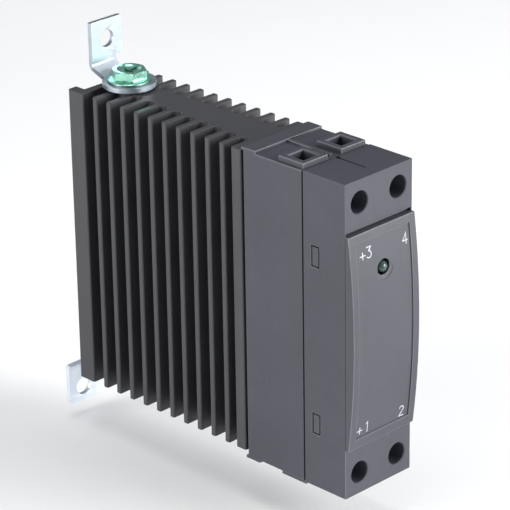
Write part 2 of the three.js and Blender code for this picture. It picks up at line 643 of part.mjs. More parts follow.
function captiveWasher() {
  return prismZ(ring(0, EARTH_Y, 5.2, 40), EARTH_STACK.captiveWasher, [ring(0, EARTH_Y, EARTH_HOLE)]);
}

// Hexagon head with a flange, a dished top and a combined slot and cross recess
function earthScrew() {
  const [flangeLow, flangeHigh] = EARTH_STACK.flange;
  const top = EARTH_STACK.head;
  const shank = 2.4;
  const tip = flangeLow - 11;
  const turned = turnZ([[0, tip], [1.7, tip], [shank, tip + 0.8], [shank, flangeLow], [5.5, flangeLow],
    [5.5, flangeLow + 0.25], [4.9, flangeHigh], [0, flangeHigh]], 40);
  const cornerRadius = EARTH_HEX_WIDTH / 2 / Math.cos(Math.PI / 6);
  const hexagon = rodZ(cornerRadius, [flangeHigh - 0.2, top], 0, 0, 6).rotateZ(Math.PI / 6);
  const rounding = turnZ([[0, tip], [5.6, tip], [5.6, top - 0.9], [4.1, top], [0, top]], 40);
  const dish = turnZ([[0, top - 0.7], [2.4, top - 0.55], [2.9, top], [2.9, top + 1], [0, top + 1]], 32);
  const slot = box([-2.6, 2.6], [-0.45, 0.45], [top - 1.6, top + 1]);
  const cross = box([-0.45, 0.45], [-1.9, 1.9], [top - 1.6, top + 1]);
  const head = join(solid(turned), [hexagon]).intersect(solid(rounding));
  return geometryOf(cut(head, [dish, slot, cross]));
}

// ---------------------------------------------------------------- rail clip
const GUIDE_Z = [-31, -18.6];
const STEM_HALF_WIDTH = 5;

function clipBase() {
  const plate = box([-8.2, 8.2], [-CHANNEL_DEPTH + FIT, 0], [-31.4, 22]);
  const hook = prismX([[-1, 17.8], [1.3, 17.8], [1.3, 14.8], [3.2, 14.8], [3.2, 21], [2.2, 22],
    [-1, 22]], [-7, 7]);
  const guides = [-1, 1].map((side) => prismZ([
    [side * 7.4, -1], [side * 7.4, 4.2], [side * 3.9, 4.2], [side * 3.9, 3],
    [side * (STEM_HALF_WIDTH + 0.4), 3], [side * (STEM_HALF_WIDTH + 0.4), -1]], GUIDE_Z));
  const springSeat = box([-1.7, 1.7], [-1, 3.6], [-30.6, SPRING_Z[0] - FIT]);
  const springPeg = rodZ(0.7, [SPRING_Z[0] - 1, SPRING_Z[0] + 2], 0, 1.95, 12);
  const body = join(solid(plate), [hook, ...guides, springSeat, springPeg]);
  const screwHoles = [-1, 1].map((end) => turnY([[0, -4], [1.9, -4], [1.9, -1.75], [3.35, -0.2],
    [3.35, 1], [0, 1]], 24).translate(CLIP_SCREW_X, 0, end * CLIP_SCREW_Z));
  const springRelief = box([-2.1, 2.1], [-0.6, 1], [SPRING_Z[0] + 0.2, -18.6]);
  return geometryOf(cut(body, [...screwHoles, springRelief]));
}

// Countersunk screw along -Y, its head flush with the clip base
function clipScrew() {
  const profile = [[0, -8.3], [0.9, -8.3], [1.35, -7.8], [1.35, -1.9], [2.9, -0.35], [2.9, -0.1],
    [0, -0.1]];
  const recess = [box([-1.6, 1.6], [-1.3, 1], [-0.35, 0.35]), box([-0.35, 0.35], [-1.3, 1], [-1.6, 1.6])];
  return geometryOf(cut(solid(turnY(profile, 20)), recess));
}

// Sheet steel slider: nose behind the rail, spring window, joggle and an offset handle
function railLatch() {
  const t = LATCH_THICKNESS;
  const nose = -15.8;
  const joggle = [-34.2, -37.6];
  const section = strip([[LATCH_PLANE + t / 2, nose], [LATCH_PLANE + t / 2, joggle[0]],
    [HANDLE_PLANE + t / 2, joggle[1]], [HANDLE_PLANE + t / 2, HANDLE_BOTTOM]], t);
  const sheet = solid(prismX(section, [HANDLE_X[0], STEM_HALF_WIDTH]));
  const [left, right] = HANDLE_X;
  const corner = 1.4;
  const outline = [
    [-STEM_HALF_WIDTH, nose],
    [-STEM_HALF_WIDTH, -37.75],
    [left + 0.4, -37.75],
    [left, -38.15],
    ...arc(left + corner, HANDLE_BOTTOM + corner, corner, 180, 270, 4),
    ...arc(right - corner, HANDLE_BOTTOM + corner, corner, 270, 360, 4),
    [right, -41.5],
    [STEM_HALF_WIDTH, -41.5],
    [STEM_HALF_WIDTH, nose],
  ];
  const blank = solid(prismY(outline, [-5, 10]));
  const noseTip = box([-6, 6], [LATCH_PLANE + 0.8, LATCH_PLANE + 3], [nose - 0.9, nose + 1]);
  const window = box([-2.2, 2.2], [-1, 4], [-31, SPRING_Z[1] + 0.2]);
  const handleHole = prismY(roundedRectangle(...HANDLE_HOLE, 2.35, 8), [0, 10]);
  return geometryOf(cut(sheet.intersect(blank), [noseTip, window, handleHole]));
}

// Compression spring with closed ends between its seat and the window's upper edge
class SpringCurve extends THREE.Curve {
  constructor(radius, low, high, turns) {
    super();
    Object.assign(this, { radius, low, high, turns });
  }

  getPoint(t, target = new THREE.Vector3()) {
    const angle = 2 * Math.PI * this.turns * t;
    const eased = THREE.MathUtils.smoothstep(t, 0, 1) * 0.35 + t * 0.65;
    const z = THREE.MathUtils.lerp(this.low, this.high, eased);
    return target.set(this.radius * Math.cos(angle), this.radius * Math.sin(angle), z);
  }
}

function latchSpring() {
  const wire = 0.22;
  const curve = new SpringCurve(1.3, SPRING_Z[0] + wire, SPRING_Z[1] - wire, 6.5);
  const section = new THREE.Shape(ring(0, 0, wire, 6).map(([u, v]) => new THREE.Vector2(u, v)));
  const wireSweep = new THREE.ExtrudeGeometry(section, { steps: 84, extrudePath: curve });
  return wireSweep.translate(0, LATCH_PLANE + LATCH_THICKNESS / 2, 0);
}

// ---------------------------------------------------------------- assembly
place('heatsink', heatsink(), anodised);
place('rear_housing', rearHousing(), blackPlastic);
place('front_cover', frontCover(), blackPlastic);
place('label_lid', labelLid(), lidPlastic);

place('status_led', statusLed(), clearLens);
place('led_spacer', ledSpacer(), packageBlack);
place('control_board', controlBoard(), boardGreen);
place('optocoupler', chipPackage([6.4, 3.2, 4.6], 2, 2.54), packageBlack, [-4.2, at(16.1), 4.5]);
place('gate_driver', chipPackage([3.9, 1.6, 4.9], 4, 1.27), packageBlack, [4.6, at(16.9), 3.5]);
place('input_capacitor', capacitor(), canAluminium, [-5.4, at(10.6), 12.6]);
place('bleed_resistor', resistor(), resistorBlue, [6.8, at(16.7), 13]);
place('input_resistor', resistor(), resistorBlue, [-6.6, at(16.7), 21]);
place('gate_resistor', resistor(), resistorBlue, [0.8, at(16.7), -6.5]);
place('clamp_diode', chipPackage([4.4, 2.4, 3.6], 1, 1), packageBlack, [0, at(16.5), -14]);

place('heat_spreader', heatSpreader(), copper);
place('thermal_pad', thermalPad(), padGrey);
place('ceramic_plate', ceramicPlate(), ceramic);
place('mosfet_die_1', box([-6.3, -1.3], [at(29.2), at(29.5)], [-5, 1.5]), silicon);
place('mosfet_die_2', box([1.3, 6.3], [at(29.2), at(29.5)], [-5, 1.5]), silicon);
place('flyback_die', box([-2.2, 2.2], [at(29.2), at(29.5)], [6, 10.4]), silicon);
[1, -1].forEach((end) => {
  const name = end > 0 ? 'relay_screw_upper' : 'relay_screw_lower';
  place(name, panScrew(2.6, 2, 1.4, 7.3), zinc, [0, at(RELAY_DEPTH - WALL - FIT), end * RELAY_SCREW_Z]);
});

TERMINALS.forEach(({ number, side, end }) => {
  const position = [side * SCREW_X, 0, end * SCREW_Z];
  place(`busbar_${number}`, busbar(end), end < 0 ? copper : tinned, [side * SCREW_X, 0, 0]);
  place(`clamp_cage_${number}`, clampCage(), plainSteel, position);
  place(`clamp_screw_${number}`, clampScrew(), zinc, position);
});

place('earth_tooth_washer', toothWasher(), plainSteel);
place('earth_bracket', earthBracket(), zinc);
place('earth_captive_washer', captiveWasher(), zinc);
place('earth_screw', earthScrew(), greenZinc, [0, EARTH_Y, 0]);

place('rail_clip_base', clipBase(), clipPlastic);
place('clip_screw_upper', clipScrew(), zinc, [CLIP_SCREW_X, 0, CLIP_SCREW_Z]);
place('clip_screw_lower', clipScrew(), zinc, [CLIP_SCREW_X, 0, -CLIP_SCREW_Z]);
place('rail_latch', railLatch(), zinc);
place('latch_spring', latchSpring(), springSteel);

export default group;
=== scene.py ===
"""Looks of a solid state relay for a 35 mm rail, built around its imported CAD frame. The frame is in
metres. Shapes are drawn in millimetres and scaled when they are placed. The front looks along -Y, +Z up."""
import json
import math

import bmesh
import bpy
from mathutils import Matrix, Vector, geometry


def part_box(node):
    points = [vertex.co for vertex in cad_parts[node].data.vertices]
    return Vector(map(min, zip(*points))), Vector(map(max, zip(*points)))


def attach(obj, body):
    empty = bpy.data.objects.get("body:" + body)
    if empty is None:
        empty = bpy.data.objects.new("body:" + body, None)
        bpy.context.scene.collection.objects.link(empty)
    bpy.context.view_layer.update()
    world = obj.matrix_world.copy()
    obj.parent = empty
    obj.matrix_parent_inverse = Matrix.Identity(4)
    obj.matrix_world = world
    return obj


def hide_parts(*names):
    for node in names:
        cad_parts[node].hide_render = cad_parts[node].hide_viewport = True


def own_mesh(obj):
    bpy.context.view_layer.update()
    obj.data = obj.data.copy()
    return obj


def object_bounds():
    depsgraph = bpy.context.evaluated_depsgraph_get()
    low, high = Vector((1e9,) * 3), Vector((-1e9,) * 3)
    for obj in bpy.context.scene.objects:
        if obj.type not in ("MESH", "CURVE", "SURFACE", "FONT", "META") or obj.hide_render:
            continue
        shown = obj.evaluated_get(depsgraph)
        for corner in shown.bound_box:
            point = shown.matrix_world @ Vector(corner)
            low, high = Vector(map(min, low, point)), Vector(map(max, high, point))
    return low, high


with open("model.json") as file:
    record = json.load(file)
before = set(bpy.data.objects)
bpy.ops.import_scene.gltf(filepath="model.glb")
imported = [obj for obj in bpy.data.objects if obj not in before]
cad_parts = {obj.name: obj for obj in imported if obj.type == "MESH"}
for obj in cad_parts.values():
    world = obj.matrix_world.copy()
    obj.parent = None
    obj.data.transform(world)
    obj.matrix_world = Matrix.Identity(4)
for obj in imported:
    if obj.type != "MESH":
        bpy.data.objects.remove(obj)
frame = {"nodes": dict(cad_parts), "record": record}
cad_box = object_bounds()
MM = 0.001
SMOOTH = math.radians(32)  # edges sharper than this stay sharp in the shading


# ---------------------------------------------------------------- driving dimensions
def extents(node):
    """The low and high corners of a CAD node's box, in millimetres to a thousandth."""
    return [[round(value / MM, 3) for value in corner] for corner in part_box(node)]


def middle_of(node):
    """The middle of a CAD node's box, in millimetres to a thousandth."""
    return [round((a + b) / 2, 3) for a, b in zip(*extents(node))]


FRONT_Y = extents("front_cover")[0][1]  # the front cover's face
SEAM = extents("front_cover")[1][1]  # the y of its back face
HALF_WIDTH = extents("front_cover")[1][0]
LID_EDGE = extents("label_lid")[1][2]  # half height of the lid
LID_RISE = FRONT_Y - extents("label_lid")[0][1]  # how far the lid's middle stands out of the cover
LID_CROWN = 1.8  # how far its middle stands out past its ends
LID_RADIUS = (LID_EDGE ** 2 + LID_CROWN ** 2) / (2 * LID_CROWN)
LID_FIELD_DEPTH = 0.3
CLAMP_X, _, CLAMP_Z = middle_of("clamp_screw_4")  # the other three are its mirror images
EARTH_Y = middle_of("earth_screw")[1]
LAMP_Z = middle_of("status_led")[2]
RELAY_SCREW_Z = middle_of("relay_screw_upper")[2]  # the lower one is its mirror image
CLIP_SCREW_X, _, CLIP_SCREW_Z = middle_of("clip_screw_upper")  # the lower one is at -CLIP_SCREW_Z
LATCH_TRAVEL = 3
FACING_FRONT = Matrix.Rotation(-math.pi / 2, 4, "X")  # turns a piece made about Z to lie along Y


# ---------------------------------------------------------------- materials
class Finish:
    """A procedural material in the part's own coordinates."""

    def __init__(self, name, color, roughness, metallic=0.0, **constants):
        self.data = bpy.data.materials.new(name)
        self.data.use_nodes = True
        self.tree = self.data.node_tree
        self.bsdf = self.tree.nodes["Principled BSDF"]
        self.bsdf.inputs["Base Color"].default_value = (*color, 1)
        self.bsdf.inputs["Roughness"].default_value = roughness
        self.bsdf.inputs["Metallic"].default_value = metallic
        for socket, value in constants.items():
            self.bsdf.inputs[socket.replace("_", " ")].default_value = value
        coordinates = self.tree.nodes.new("ShaderNodeTexCoord")
        self.place = coordinates.outputs["Object"]
        self.share = coordinates.outputs["Generated"]
        self.color = (*color, 1)

    def add(self, kind, inputs=(), **settings):
        node = self.tree.nodes.new("ShaderNode" + kind)
        for name, value in settings.items():
            setattr(node, name, value)
        for key, value in dict(inputs).items():
            self.put(node.inputs[key], value)
        return node

    def put(self, socket, value):
        if isinstance(value, bpy.types.NodeSocket):
            self.tree.links.new(value, socket)
        else:
            socket.default_value = value

    def stretched(self, stretch):
        node = self.add("Mapping", {"Vector": self.place, "Scale": stretch})
        return node.outputs["Vector"]

    def noise(self, scale, detail=2.0, stretch=None, seed=0.0):
        where = self.stretched(stretch) if stretch else self.place
        node = self.add("TexNoise", {"Vector": where, "Scale": scale, "Detail": detail, "W": seed},
                        noise_dimensions="4D")
        return node.outputs["Fac"]

    def cells(self, scale, feature="F1", stretch=None, output="Distance"):
        where = self.stretched(stretch) if stretch else self.place
        node = self.add("TexVoronoi", {"Vector": where, "Scale": scale}, feature=feature)
        return node.outputs[output]

    def spread(self, value, low, high, start=0.0, end=1.0):
        node = self.add("MapRange", {"Value": value, "From Min": start, "From Max": end,
                                     "To Min": low, "To Max": high})
        return node.outputs["Result"]

    def mixed(self, factor, a, b, blend="MIX"):
        node = self.add("Mix", data_type="RGBA", blend_type=blend)
        for index, value in ((0, factor), (6, a), (7, b)):
            self.put(node.inputs[index], value)
        return node.outputs[2]

    def toned(self, factor, amount, color=None):
        """The colour, darker and lighter by the amount as the factor goes from 0.3 to 0.7."""
        base = color or self.color
        low = tuple(c * (1 - amount) for c in base[:3]) + (1,)
        high = tuple(c * (1 + amount) for c in base[:3]) + (1,)
        return self.mixed(self.spread(factor, 0, 1, 0.3, 0.7), low, high)

    def sum(self, a, b, operation="ADD"):
        return self.add("Math", {0: a, 1: b}, operation=operation).outputs[0]

    def finish(self, color=None, roughness=None, height=None, distance=2e-5, strength=0.5):
        if color is not None:
            self.put(self.bsdf.inputs["Base Color"], color)
        if roughness is not None:
            self.put(self.bsdf.inputs["Roughness"], roughness)
        if height is not None:
            bump = self.add("Bump", {"Height": height, "Distance": distance, "Strength": strength})
            self.put(self.bsdf.inputs["Normal"], bump.outputs["Normal"])
        return self.data


def plastic(name, color, roughness, grain, dust=0.0):
    """Moulded plastic: spark-eroded grain, flow variation, and a few light specks and scuffs."""
    m = Finish(name, color, roughness)
    tone = m.toned(m.noise(55, 3), 0.07)
    if dust:
        light = tuple(min(1, c * 2.2) for c in color) + (1,)
        specks = m.spread(m.noise(1500, 1, seed=3.1), 0, dust, 0.73, 0.79)
        scuffs = m.spread(m.noise(420, 3, stretch=(1, 1, 0.16), seed=8.4), 0, dust * 0.6, 0.66, 0.8)
        tone = m.mixed(m.sum(specks, scuffs, "MAXIMUM"), tone, light)
    rough = m.spread(m.noise(240, 4, seed=1.7), roughness - 0.07, roughness + 0.07, 0.3, 0.7)
    height = m.sum(m.noise(grain, 3), m.noise(180, 2, seed=5.2))
    return m.finish(tone, rough, height, 1.6e-5, 0.55)


def metal(name, color, roughness, tint=None, brushed=None, variation=0.06, scale=300, **constants):
    """Metal with a mottled or brushed surface; tint is a second colour that drifts over it."""
    m = Finish(name, color, roughness, 1.0, **constants)
    tone = m.toned(m.noise(scale, 3), variation)
    if tint:
        tone = m.mixed(m.spread(m.noise(90, 2, seed=2.9), 0, 0.8, 0.42, 0.64), tone, (*tint, 1))
    fine = m.noise(2600, 3, stretch=brushed, seed=4.4)
    rough = m.spread(m.noise(scale * 2.3, 4, seed=6.1), roughness * 0.72, roughness * 1.35, 0.3, 0.7)
    return m.finish(tone, rough, m.sum(fine, m.noise(150, 1)), 8e-6, 0.5)


def anodised():
    """Black anodised extrusion: die lines along Z on the sides, saw marks on the cut ends."""
    m = Finish("anodised_aluminium", (0.040, 0.040, 0.045), 0.46)
    upright = m.add("SeparateXYZ", {0: m.add("NewGeometry").outputs["Normal"]}).outputs["Z"]
    cut = m.spread(m.add("Math", {0: upright}, operation="ABSOLUTE").outputs[0], 0, 1, 0.6, 0.9)
    lines = m.noise(2400, 2, stretch=(1, 1, 0.012))
    saw = m.noise(2600, 2, stretch=(0.05, 1, 1), seed=9.0)
    marks = m.add("Mix", data_type="FLOAT")
    for index, value in ((0, cut), (2, lines), (3, saw)):
        m.put(marks.inputs[index], value)
    mottle = m.noise(120, 4, seed=2.0)
    tone = m.toned(m.sum(m.sum(marks.outputs[0], mottle), 0.5, "MULTIPLY"), 0.16)
    chips = m.spread(m.noise(1300, 1, seed=7.7), 0, 0.35, 0.76, 0.8)
    tone = m.mixed(chips, tone, (0.2, 0.2, 0.21, 1))
    rough = m.spread(mottle, 0.4, 0.54, 0.3, 0.7)
    return m.finish(tone, rough, marks.outputs[0], 1.4e-5, 0.5)


def circuit_board():
    """Solder mask over copper tracks and a ground area, with plated vias."""
    m = Finish("circuit_board", (0.018, 0.10, 0.045), 0.38)
    tracks = m.add("TexBrick", {"Vector": m.stretched((1, 1, 1)), "Scale": 420, "Mortar Size": 0.06,
                                "Color1": (0.02, 0.13, 0.055, 1), "Color2": (0.014, 0.085, 0.038, 1),
                                "Mortar": (0.010, 0.055, 0.026, 1)}, offset=0.37)
    vias = m.spread(m.cells(330), 1, 0, 0.10, 0.14)
    tone = m.mixed(vias, tracks.outputs["Color"], (0.55, 0.48, 0.28, 1))
    height = m.sum(m.spread(vias, 0, 0.6), tracks.outputs["Fac"], "SUBTRACT")
    return m.finish(tone, m.spread(m.noise(700, 2), 0.3, 0.46), height, 3e-5, 0.6)


def resistor_body():
    """Blue lacquer with value bands and tinned end caps."""
    m = Finish("resistor_body", (0.05, 0.16, 0.30), 0.3)
    along = m.add("SeparateXYZ", {0: m.share}).outputs["Z"]
    ramp = m.add("ValToRGB", {"Fac": along})
    ramp.color_ramp.interpolation = "CONSTANT"
    stops = ((0.0, (0.62, 0.61, 0.58)), (0.155, (0.05, 0.16, 0.30)), (0.27, (0.35, 0.13, 0.05)),
             (0.34, (0.05, 0.16, 0.30)), (0.42, (0.01, 0.01, 0.01)), (0.49, (0.05, 0.16, 0.30)),
             (0.57, (0.45, 0.08, 0.03)), (0.64, (0.05, 0.16, 0.30)), (0.845, (0.62, 0.61, 0.58)))
    elements = ramp.color_ramp.elements
    elements[0].color = (*stops[0][1], 1)
    elements[1].position, elements[1].color = stops[-1][0], (*stops[-1][1], 1)
    for position, color in stops[1:-1]:
        elements.new(position).color = (*color, 1)
    tone = m.mixed(m.spread(m.noise(900, 2), 0, 0.25), ramp.outputs["Color"], (0.1, 0.1, 0.1, 1))
    return m.finish(tone, m.spread(m.noise(500, 3), 0.22, 0.38), m.noise(2000, 2), 1e-5, 0.4)


def thermal_pad():
    """Grey silicone pad with its glass cloth showing through."""
    m = Finish("thermal_pad", (0.30, 0.31, 0.32), 0.82)
    weave = [m.add("TexWave", {"Vector": m.place, "Scale": 260.0, "Distortion": 0.4},
                   bands_direction=axis).outputs["Fac"] for axis in "XZ"]
    cloth = m.sum(*weave, "MAXIMUM")
    return m.finish(m.toned(m.sum(cloth, m.noise(400), "MULTIPLY"), 0.15), None, cloth, 3e-5, 0.6)


def silicon():
    """Die top: aluminium bond areas with thin streets between them."""
    m = Finish("silicon", (0.11, 0.12, 0.16), 0.22, 0.6)
    grid = m.add("TexBrick", {"Vector": m.stretched((1, 1, 1)), "Scale": 900, "Mortar Size": 0.03,
                              "Color1": (0.42, 0.42, 0.44, 1), "Color2": (0.34, 0.35, 0.38, 1),
                              "Mortar": (0.05, 0.055, 0.09, 1)}, offset=0.0)
    return m.finish(grid.outputs["Color"], m.spread(m.noise(1500), 0.15, 0.3), grid.outputs["Fac"], 1e-5, 0.4)


def ceramic():
    m = Finish("ceramic", (0.78, 0.76, 0.70), 0.5)
    return m.finish(m.toned(m.noise(260, 4), 0.05), m.spread(m.noise(900, 3), 0.4, 0.6), m.noise(3000, 2),
                    1e-5, 0.4)


def lens():
    """Water-clear epoxy of a lamp, faintly green, with the moulding's ripples."""
    m = Finish("led_lens", (0.05, 0.09, 0.076), 0.08, 0.0, Transmission_Weight=0.35, IOR=1.5)
    tone = m.toned(m.noise(400, 2), 0.05)
    return m.finish(tone, m.spread(m.noise(800, 2), 0.03, 0.10), m.noise(300, 1), 4e-6, 0.3)


def ink():
    """White pad-printed ink, a little uneven."""
    m = Finish("white_ink", (0.50, 0.51, 0.56), 0.6)
    tone = m.mixed(m.spread(m.noise(2400, 3), 0, 0.3, 0.45, 0.75), m.color, (0.26, 0.27, 0.31, 1))
    return m.finish(tone, m.spread(m.noise(1200, 2), 0.5, 0.7), m.noise(3000, 2), 8e-6, 0.5)


MATERIALS = {
    "anodised_aluminium": anodised(),
    "housing_plastic": plastic("housing_plastic", (0.043, 0.044, 0.058), 0.50, 3400, dust=0.8),
    "lid_plastic": plastic("lid_plastic", (0.048, 0.049, 0.062), 0.46, 3900, dust=0.4),
    "clip_plastic": plastic("clip_plastic", (0.050, 0.050, 0.055), 0.56, 2600, dust=0.2),
    "component_body": plastic("component_body", (0.020, 0.020, 0.022), 0.5, 4200),
    "zinc_plate": metal("zinc_plate", (0.42, 0.47, 0.51), 0.42, tint=(0.37, 0.42, 0.48), variation=0.04,
                        scale=160),
    "green_zinc": metal("green_zinc", (0.36, 0.72, 0.57), 0.26, tint=(0.22, 0.56, 0.43), variation=0.10,
                        scale=420, Coat_Weight=0.2, Coat_Roughness=0.12),
    "plain_steel": metal("plain_steel", (0.52, 0.53, 0.54), 0.33, brushed=(0.1, 1, 1)),
    "spring_steel": metal("spring_steel", (0.42, 0.43, 0.45), 0.26, brushed=(1, 1, 0.1)),
    "copper": metal("copper", (0.72, 0.36, 0.22), 0.34, tint=(0.55, 0.25, 0.15), variation=0.12),
    "tinned_copper": metal("tinned_copper", (0.66, 0.65, 0.62), 0.36, variation=0.08, scale=500),
    "capacitor_can": metal("capacitor_can", (0.58, 0.59, 0.60), 0.36, brushed=(1, 1, 0.1)),
    "ceramic": ceramic(),
    "silicon": silicon(),
    "thermal_pad": thermal_pad(),
    "circuit_board": circuit_board(),
    "resistor_body": resistor_body(),
    "led_lens": lens(),
}
# Lighter and slightly polished copies of the plastics for the rounded edges of the mouldings: the lighter
# colour is a painted highlight along the edges
EDGES = {
    "housing_plastic": plastic("housing_plastic_edge_highlight", (0.108, 0.110, 0.130), 0.40, 3400),
    "lid_plastic": plastic("lid_plastic_edge_highlight", (0.12, 0.122, 0.145), 0.38, 3900),
    "clip_plastic": plastic("clip_plastic_edge_highlight", (0.075, 0.075, 0.080), 0.45, 2600),
}
# A more matt copy of the bracket's zinc for the latch, made lighter: painted light that makes up for the
# shaded floor it reflects
LIGHTENED_MATT_ZINC = metal("matt_zinc_plate_painted_light", (0.78, 0.83, 0.90), 0.52, tint=(0.70, 0.77, 0.85), variation=0.04,
                  scale=160)
INK = ink()
SLOT_OF = {part["node"]: part["material_slot"] for part in frame["record"]["subparts"]}
BODY_OF = {node: body for body, nodes in frame["record"]["behaviour"]["bodies"].items() for node in nodes}


# ---------------------------------------------------------------- mesh helpers
def arc(u, v, radius, start, end, steps):
    angles = (math.radians(start + (end - start) * i / steps) for i in range(steps + 1))
    return [(u + radius * math.cos(a), v + radius * math.sin(a)) for a in angles]


def shade(bm, angle=SMOOTH):
    """Smooth shading with sharp edges kept, and faces pointing out."""
    bmesh.ops.recalc_face_normals(bm, faces=bm.faces)
    for face in bm.faces:
        face.smooth = True
    for edge in bm.edges:
        edge.smooth = edge.is_manifold and edge.calc_face_angle() < angle


def tidy(bm, flat=math.radians(0.5)):
    """Merges shared corners and turns coplanar triangles into whole faces."""
    bmesh.ops.remove_doubles(bm, verts=bm.verts, dist=2e-6)
    bmesh.ops.dissolve_limit(bm, angle_limit=flat, verts=bm.verts, edges=bm.edges)


def round_edges(bm, width, segments=2, angle=math.radians(38), material=-1, keep=None):
    """Rounds the outward sharp edges, one connected set at a time so that a small feature
    does not limit the others. Edges for which keep is true stay sharp."""
    sharp = {e for e in bm.edges if e.is_manifold and e.is_convex and e.calc_face_angle() > angle}
    if keep:
        sharp = {e for e in sharp if not keep((e.verts[0].co + e.verts[1].co) / 2 / MM)}
    groups = []
    while sharp:
        group, front = [], [sharp.pop()]
        while front:
            edge = front.pop()
            group.append(edge)
            near = {e for v in edge.verts for e in v.link_edges} & sharp
            sharp -= near
            front += near
        groups.append(group)
    for group in groups:
        group = [e for e in group if e.is_valid]
        bmesh.ops.bevel(bm, geom=group, offset=width, segments=segments, profile=0.5, affect="EDGES",
                        clamp_overlap=True, material=material, miter_outer="ARC")


def piece(bm, name, body, slot, replaces=(), materials=None, weighted=True):
    """A finished piece of the object, made from bm in the row frame."""
    mesh = bpy.data.meshes.new(name)
    bm.to_mesh(mesh)
    bm.free()
    obj = bpy.data.objects.new(name, mesh)
    bpy.context.scene.collection.objects.link(obj)
    for material in materials or [MATERIALS[slot]]:
        mesh.materials.append(material)
    if weighted:
        obj.modifiers.new("normals", "WEIGHTED_NORMAL").keep_sharp = True
    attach(obj, body)
    if replaces:
        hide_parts(*replaces)
    return obj


def from_node(node):
    bm = bmesh.new()
    bm.from_mesh(frame["nodes"][node].data)
    tidy(bm)
    return bm


def refined(node, width, segments=2, planes=(), keep=None, prepare=None):
    """A CAD node with whole faces and rounded edges, after prepare has cut its details. Edges are first
    split at the planes, given as (point, normal) in millimetres, and stay sharp where keep says so."""
    slot = SLOT_OF[node]
    bm = from_node(node)
    if prepare:
        bm = prepare(bm)
    for point, normal in planes:
        bmesh.ops.bisect_plane(bm, geom=[*bm.verts, *bm.edges, *bm.faces], dist=1e-7,
                               plane_co=Vector(point) * MM, plane_no=normal)
    for face in bm.faces:
        face.material_index = 0
    # The rounded edges get the slot's lighter edge material where it has one: a painted highlight
    edge = EDGES.get(slot)
    round_edges(bm, width * MM, segments, material=1 if edge else -1, keep=keep)
    shade(bm)
    return piece(bm, node + "_finished", BODY_OF[node], slot, [node],
                 [MATERIALS[slot]] + ([edge] if edge else []))


def boolean(bm, tool, operation="DIFFERENCE"):
    """bm cut by, joined with or limited to tool, which is used up."""
    made = []
    for source in (bm, tool):
        mesh = bpy.data.meshes.new("work")
        source.to_mesh(mesh)
        source.free()
        obj = bpy.data.objects.new("work", mesh)
        bpy.context.scene.collection.objects.link(obj)
        made.append(obj)
    cut = made[0].modifiers.new("cut", "BOOLEAN")
    cut.operation, cut.solver, cut.object = operation, "EXACT", made[1]
    evaluated = made[0].evaluated_get(bpy.context.evaluated_depsgraph_get())
    result = bmesh.new()
    result.from_mesh(evaluated.to_mesh())
    for obj in made:
        mesh = obj.data
        bpy.data.objects.remove(obj)
        bpy.data.meshes.remove(mesh)
    return result


def block(low, high):
    bm = bmesh.new()
    size = [h - l for l, h in zip(low, high)]
    middle = [(l + h) / 2 for l, h in zip(low, high)]
    bmesh.ops.create_cube(bm, size=1, matrix=Matrix.Translation(middle) @ Matrix.Diagonal((*size, 1)))
    return bm


def scaled(bm, matrix=Matrix()):
    """bm from millimetres to metres, after the given placing in millimetres."""
    bmesh.ops.transform(bm, matrix=Matrix.Scale(MM, 4) @ matrix, verts=bm.verts)
    return bm


def lathe(profile, sides, thread=None):
    """A closed turned piece about Z from (radius, z) pairs that start and end on the axis, low end first.
    thread is (low, high, pitch, depth): a helical groove between those heights."""
    rows = []
    for (r0, z0), (r1, z1) in zip(profile, profile[1:]):
        rows.append((r0, z0))
        if thread and r0 == r1 and z0 <= thread[0] + 1e-9 and z1 >= thread[1] - 1e-9:
            step = thread[2] / 8
            count = round((z1 - z0) / step)
            rows += [(r0, z0 + (z1 - z0) * i / count) for i in range(1, count)]
    rows.append(profile[-1])
    bm = bmesh.new()
    rings = []
    for r, z in rows:
        if r == 0:
            rings.append([bm.verts.new((0, 0, z))])
            continue
        ring = []
        for i in range(sides):
            angle = 2 * math.pi * i / sides
            radius = r
            if thread and thread[0] <= z <= thread[1]:
                low, high, pitch, depth = thread
                fade = min(1, (z - low) / pitch, (high - z) / pitch)
                turn = (z / pitch - i / sides) % 1
                radius -= depth * fade * (1 - min(1, abs(turn - 0.5) * 2.6))
            ring.append(bm.verts.new((radius * math.cos(angle), radius * math.sin(angle), z)))
        rings.append(ring)
    for a, b in zip(rings, rings[1:]):
        for i in range(sides):
            j = (i + 1) % sides
            corners = [a[i % len(a)], a[j % len(a)], b[j % len(b)], b[i % len(b)]]
            unique = list(dict.fromkeys(corners))
            if len(unique) > 2:
                bm.faces.new(unique)
    bmesh.ops.recalc_face_normals(bm, faces=bm.faces)
    return bm


def swept(outline, low, high, chamfer=0.0):
    """An outline in X and Y swept along Z, with chamfered ends."""
    def inset(points, by):
        out = []
        count = len(points)
        for i in range(count):
            before, here, after = (Vector(points[k % count]) for k in (i - 1, i, i + 1))
            a, b = (here - before).normalized(), (after - here).normalized()
            normal = Vector((-(a + b).y, (a + b).x)).normalized()
            along = max(0.35, normal.dot(Vector((-a.y, a.x))))
            out.append(here + normal * by / along)
        return out

    area = sum(a[0] * b[1] - b[0] * a[1] for a, b in zip(outline, outline[1:] + outline[:1]))
    by = chamfer if area > 0 else -chamfer
    small = inset(outline, by) if chamfer else outline
    levels = [(small, low), (outline, low + chamfer), (outline, high - chamfer), (small, high)]
    if not chamfer:
        levels = [levels[0], levels[3]]
    bm = bmesh.new()
    rings = [[bm.verts.new((p[0], p[1], z)) for p in points] for points, z in levels]
    for a, b in zip(rings, rings[1:]):
        for i in range(len(a)):
            j = (i + 1) % len(a)
            bm.faces.new((a[i], a[j], b[j], b[i]))
    bm.faces.new(rings[0])
    bm.faces.new(rings[-1])
    bmesh.ops.recalc_face_normals(bm, faces=bm.faces)
    return bm


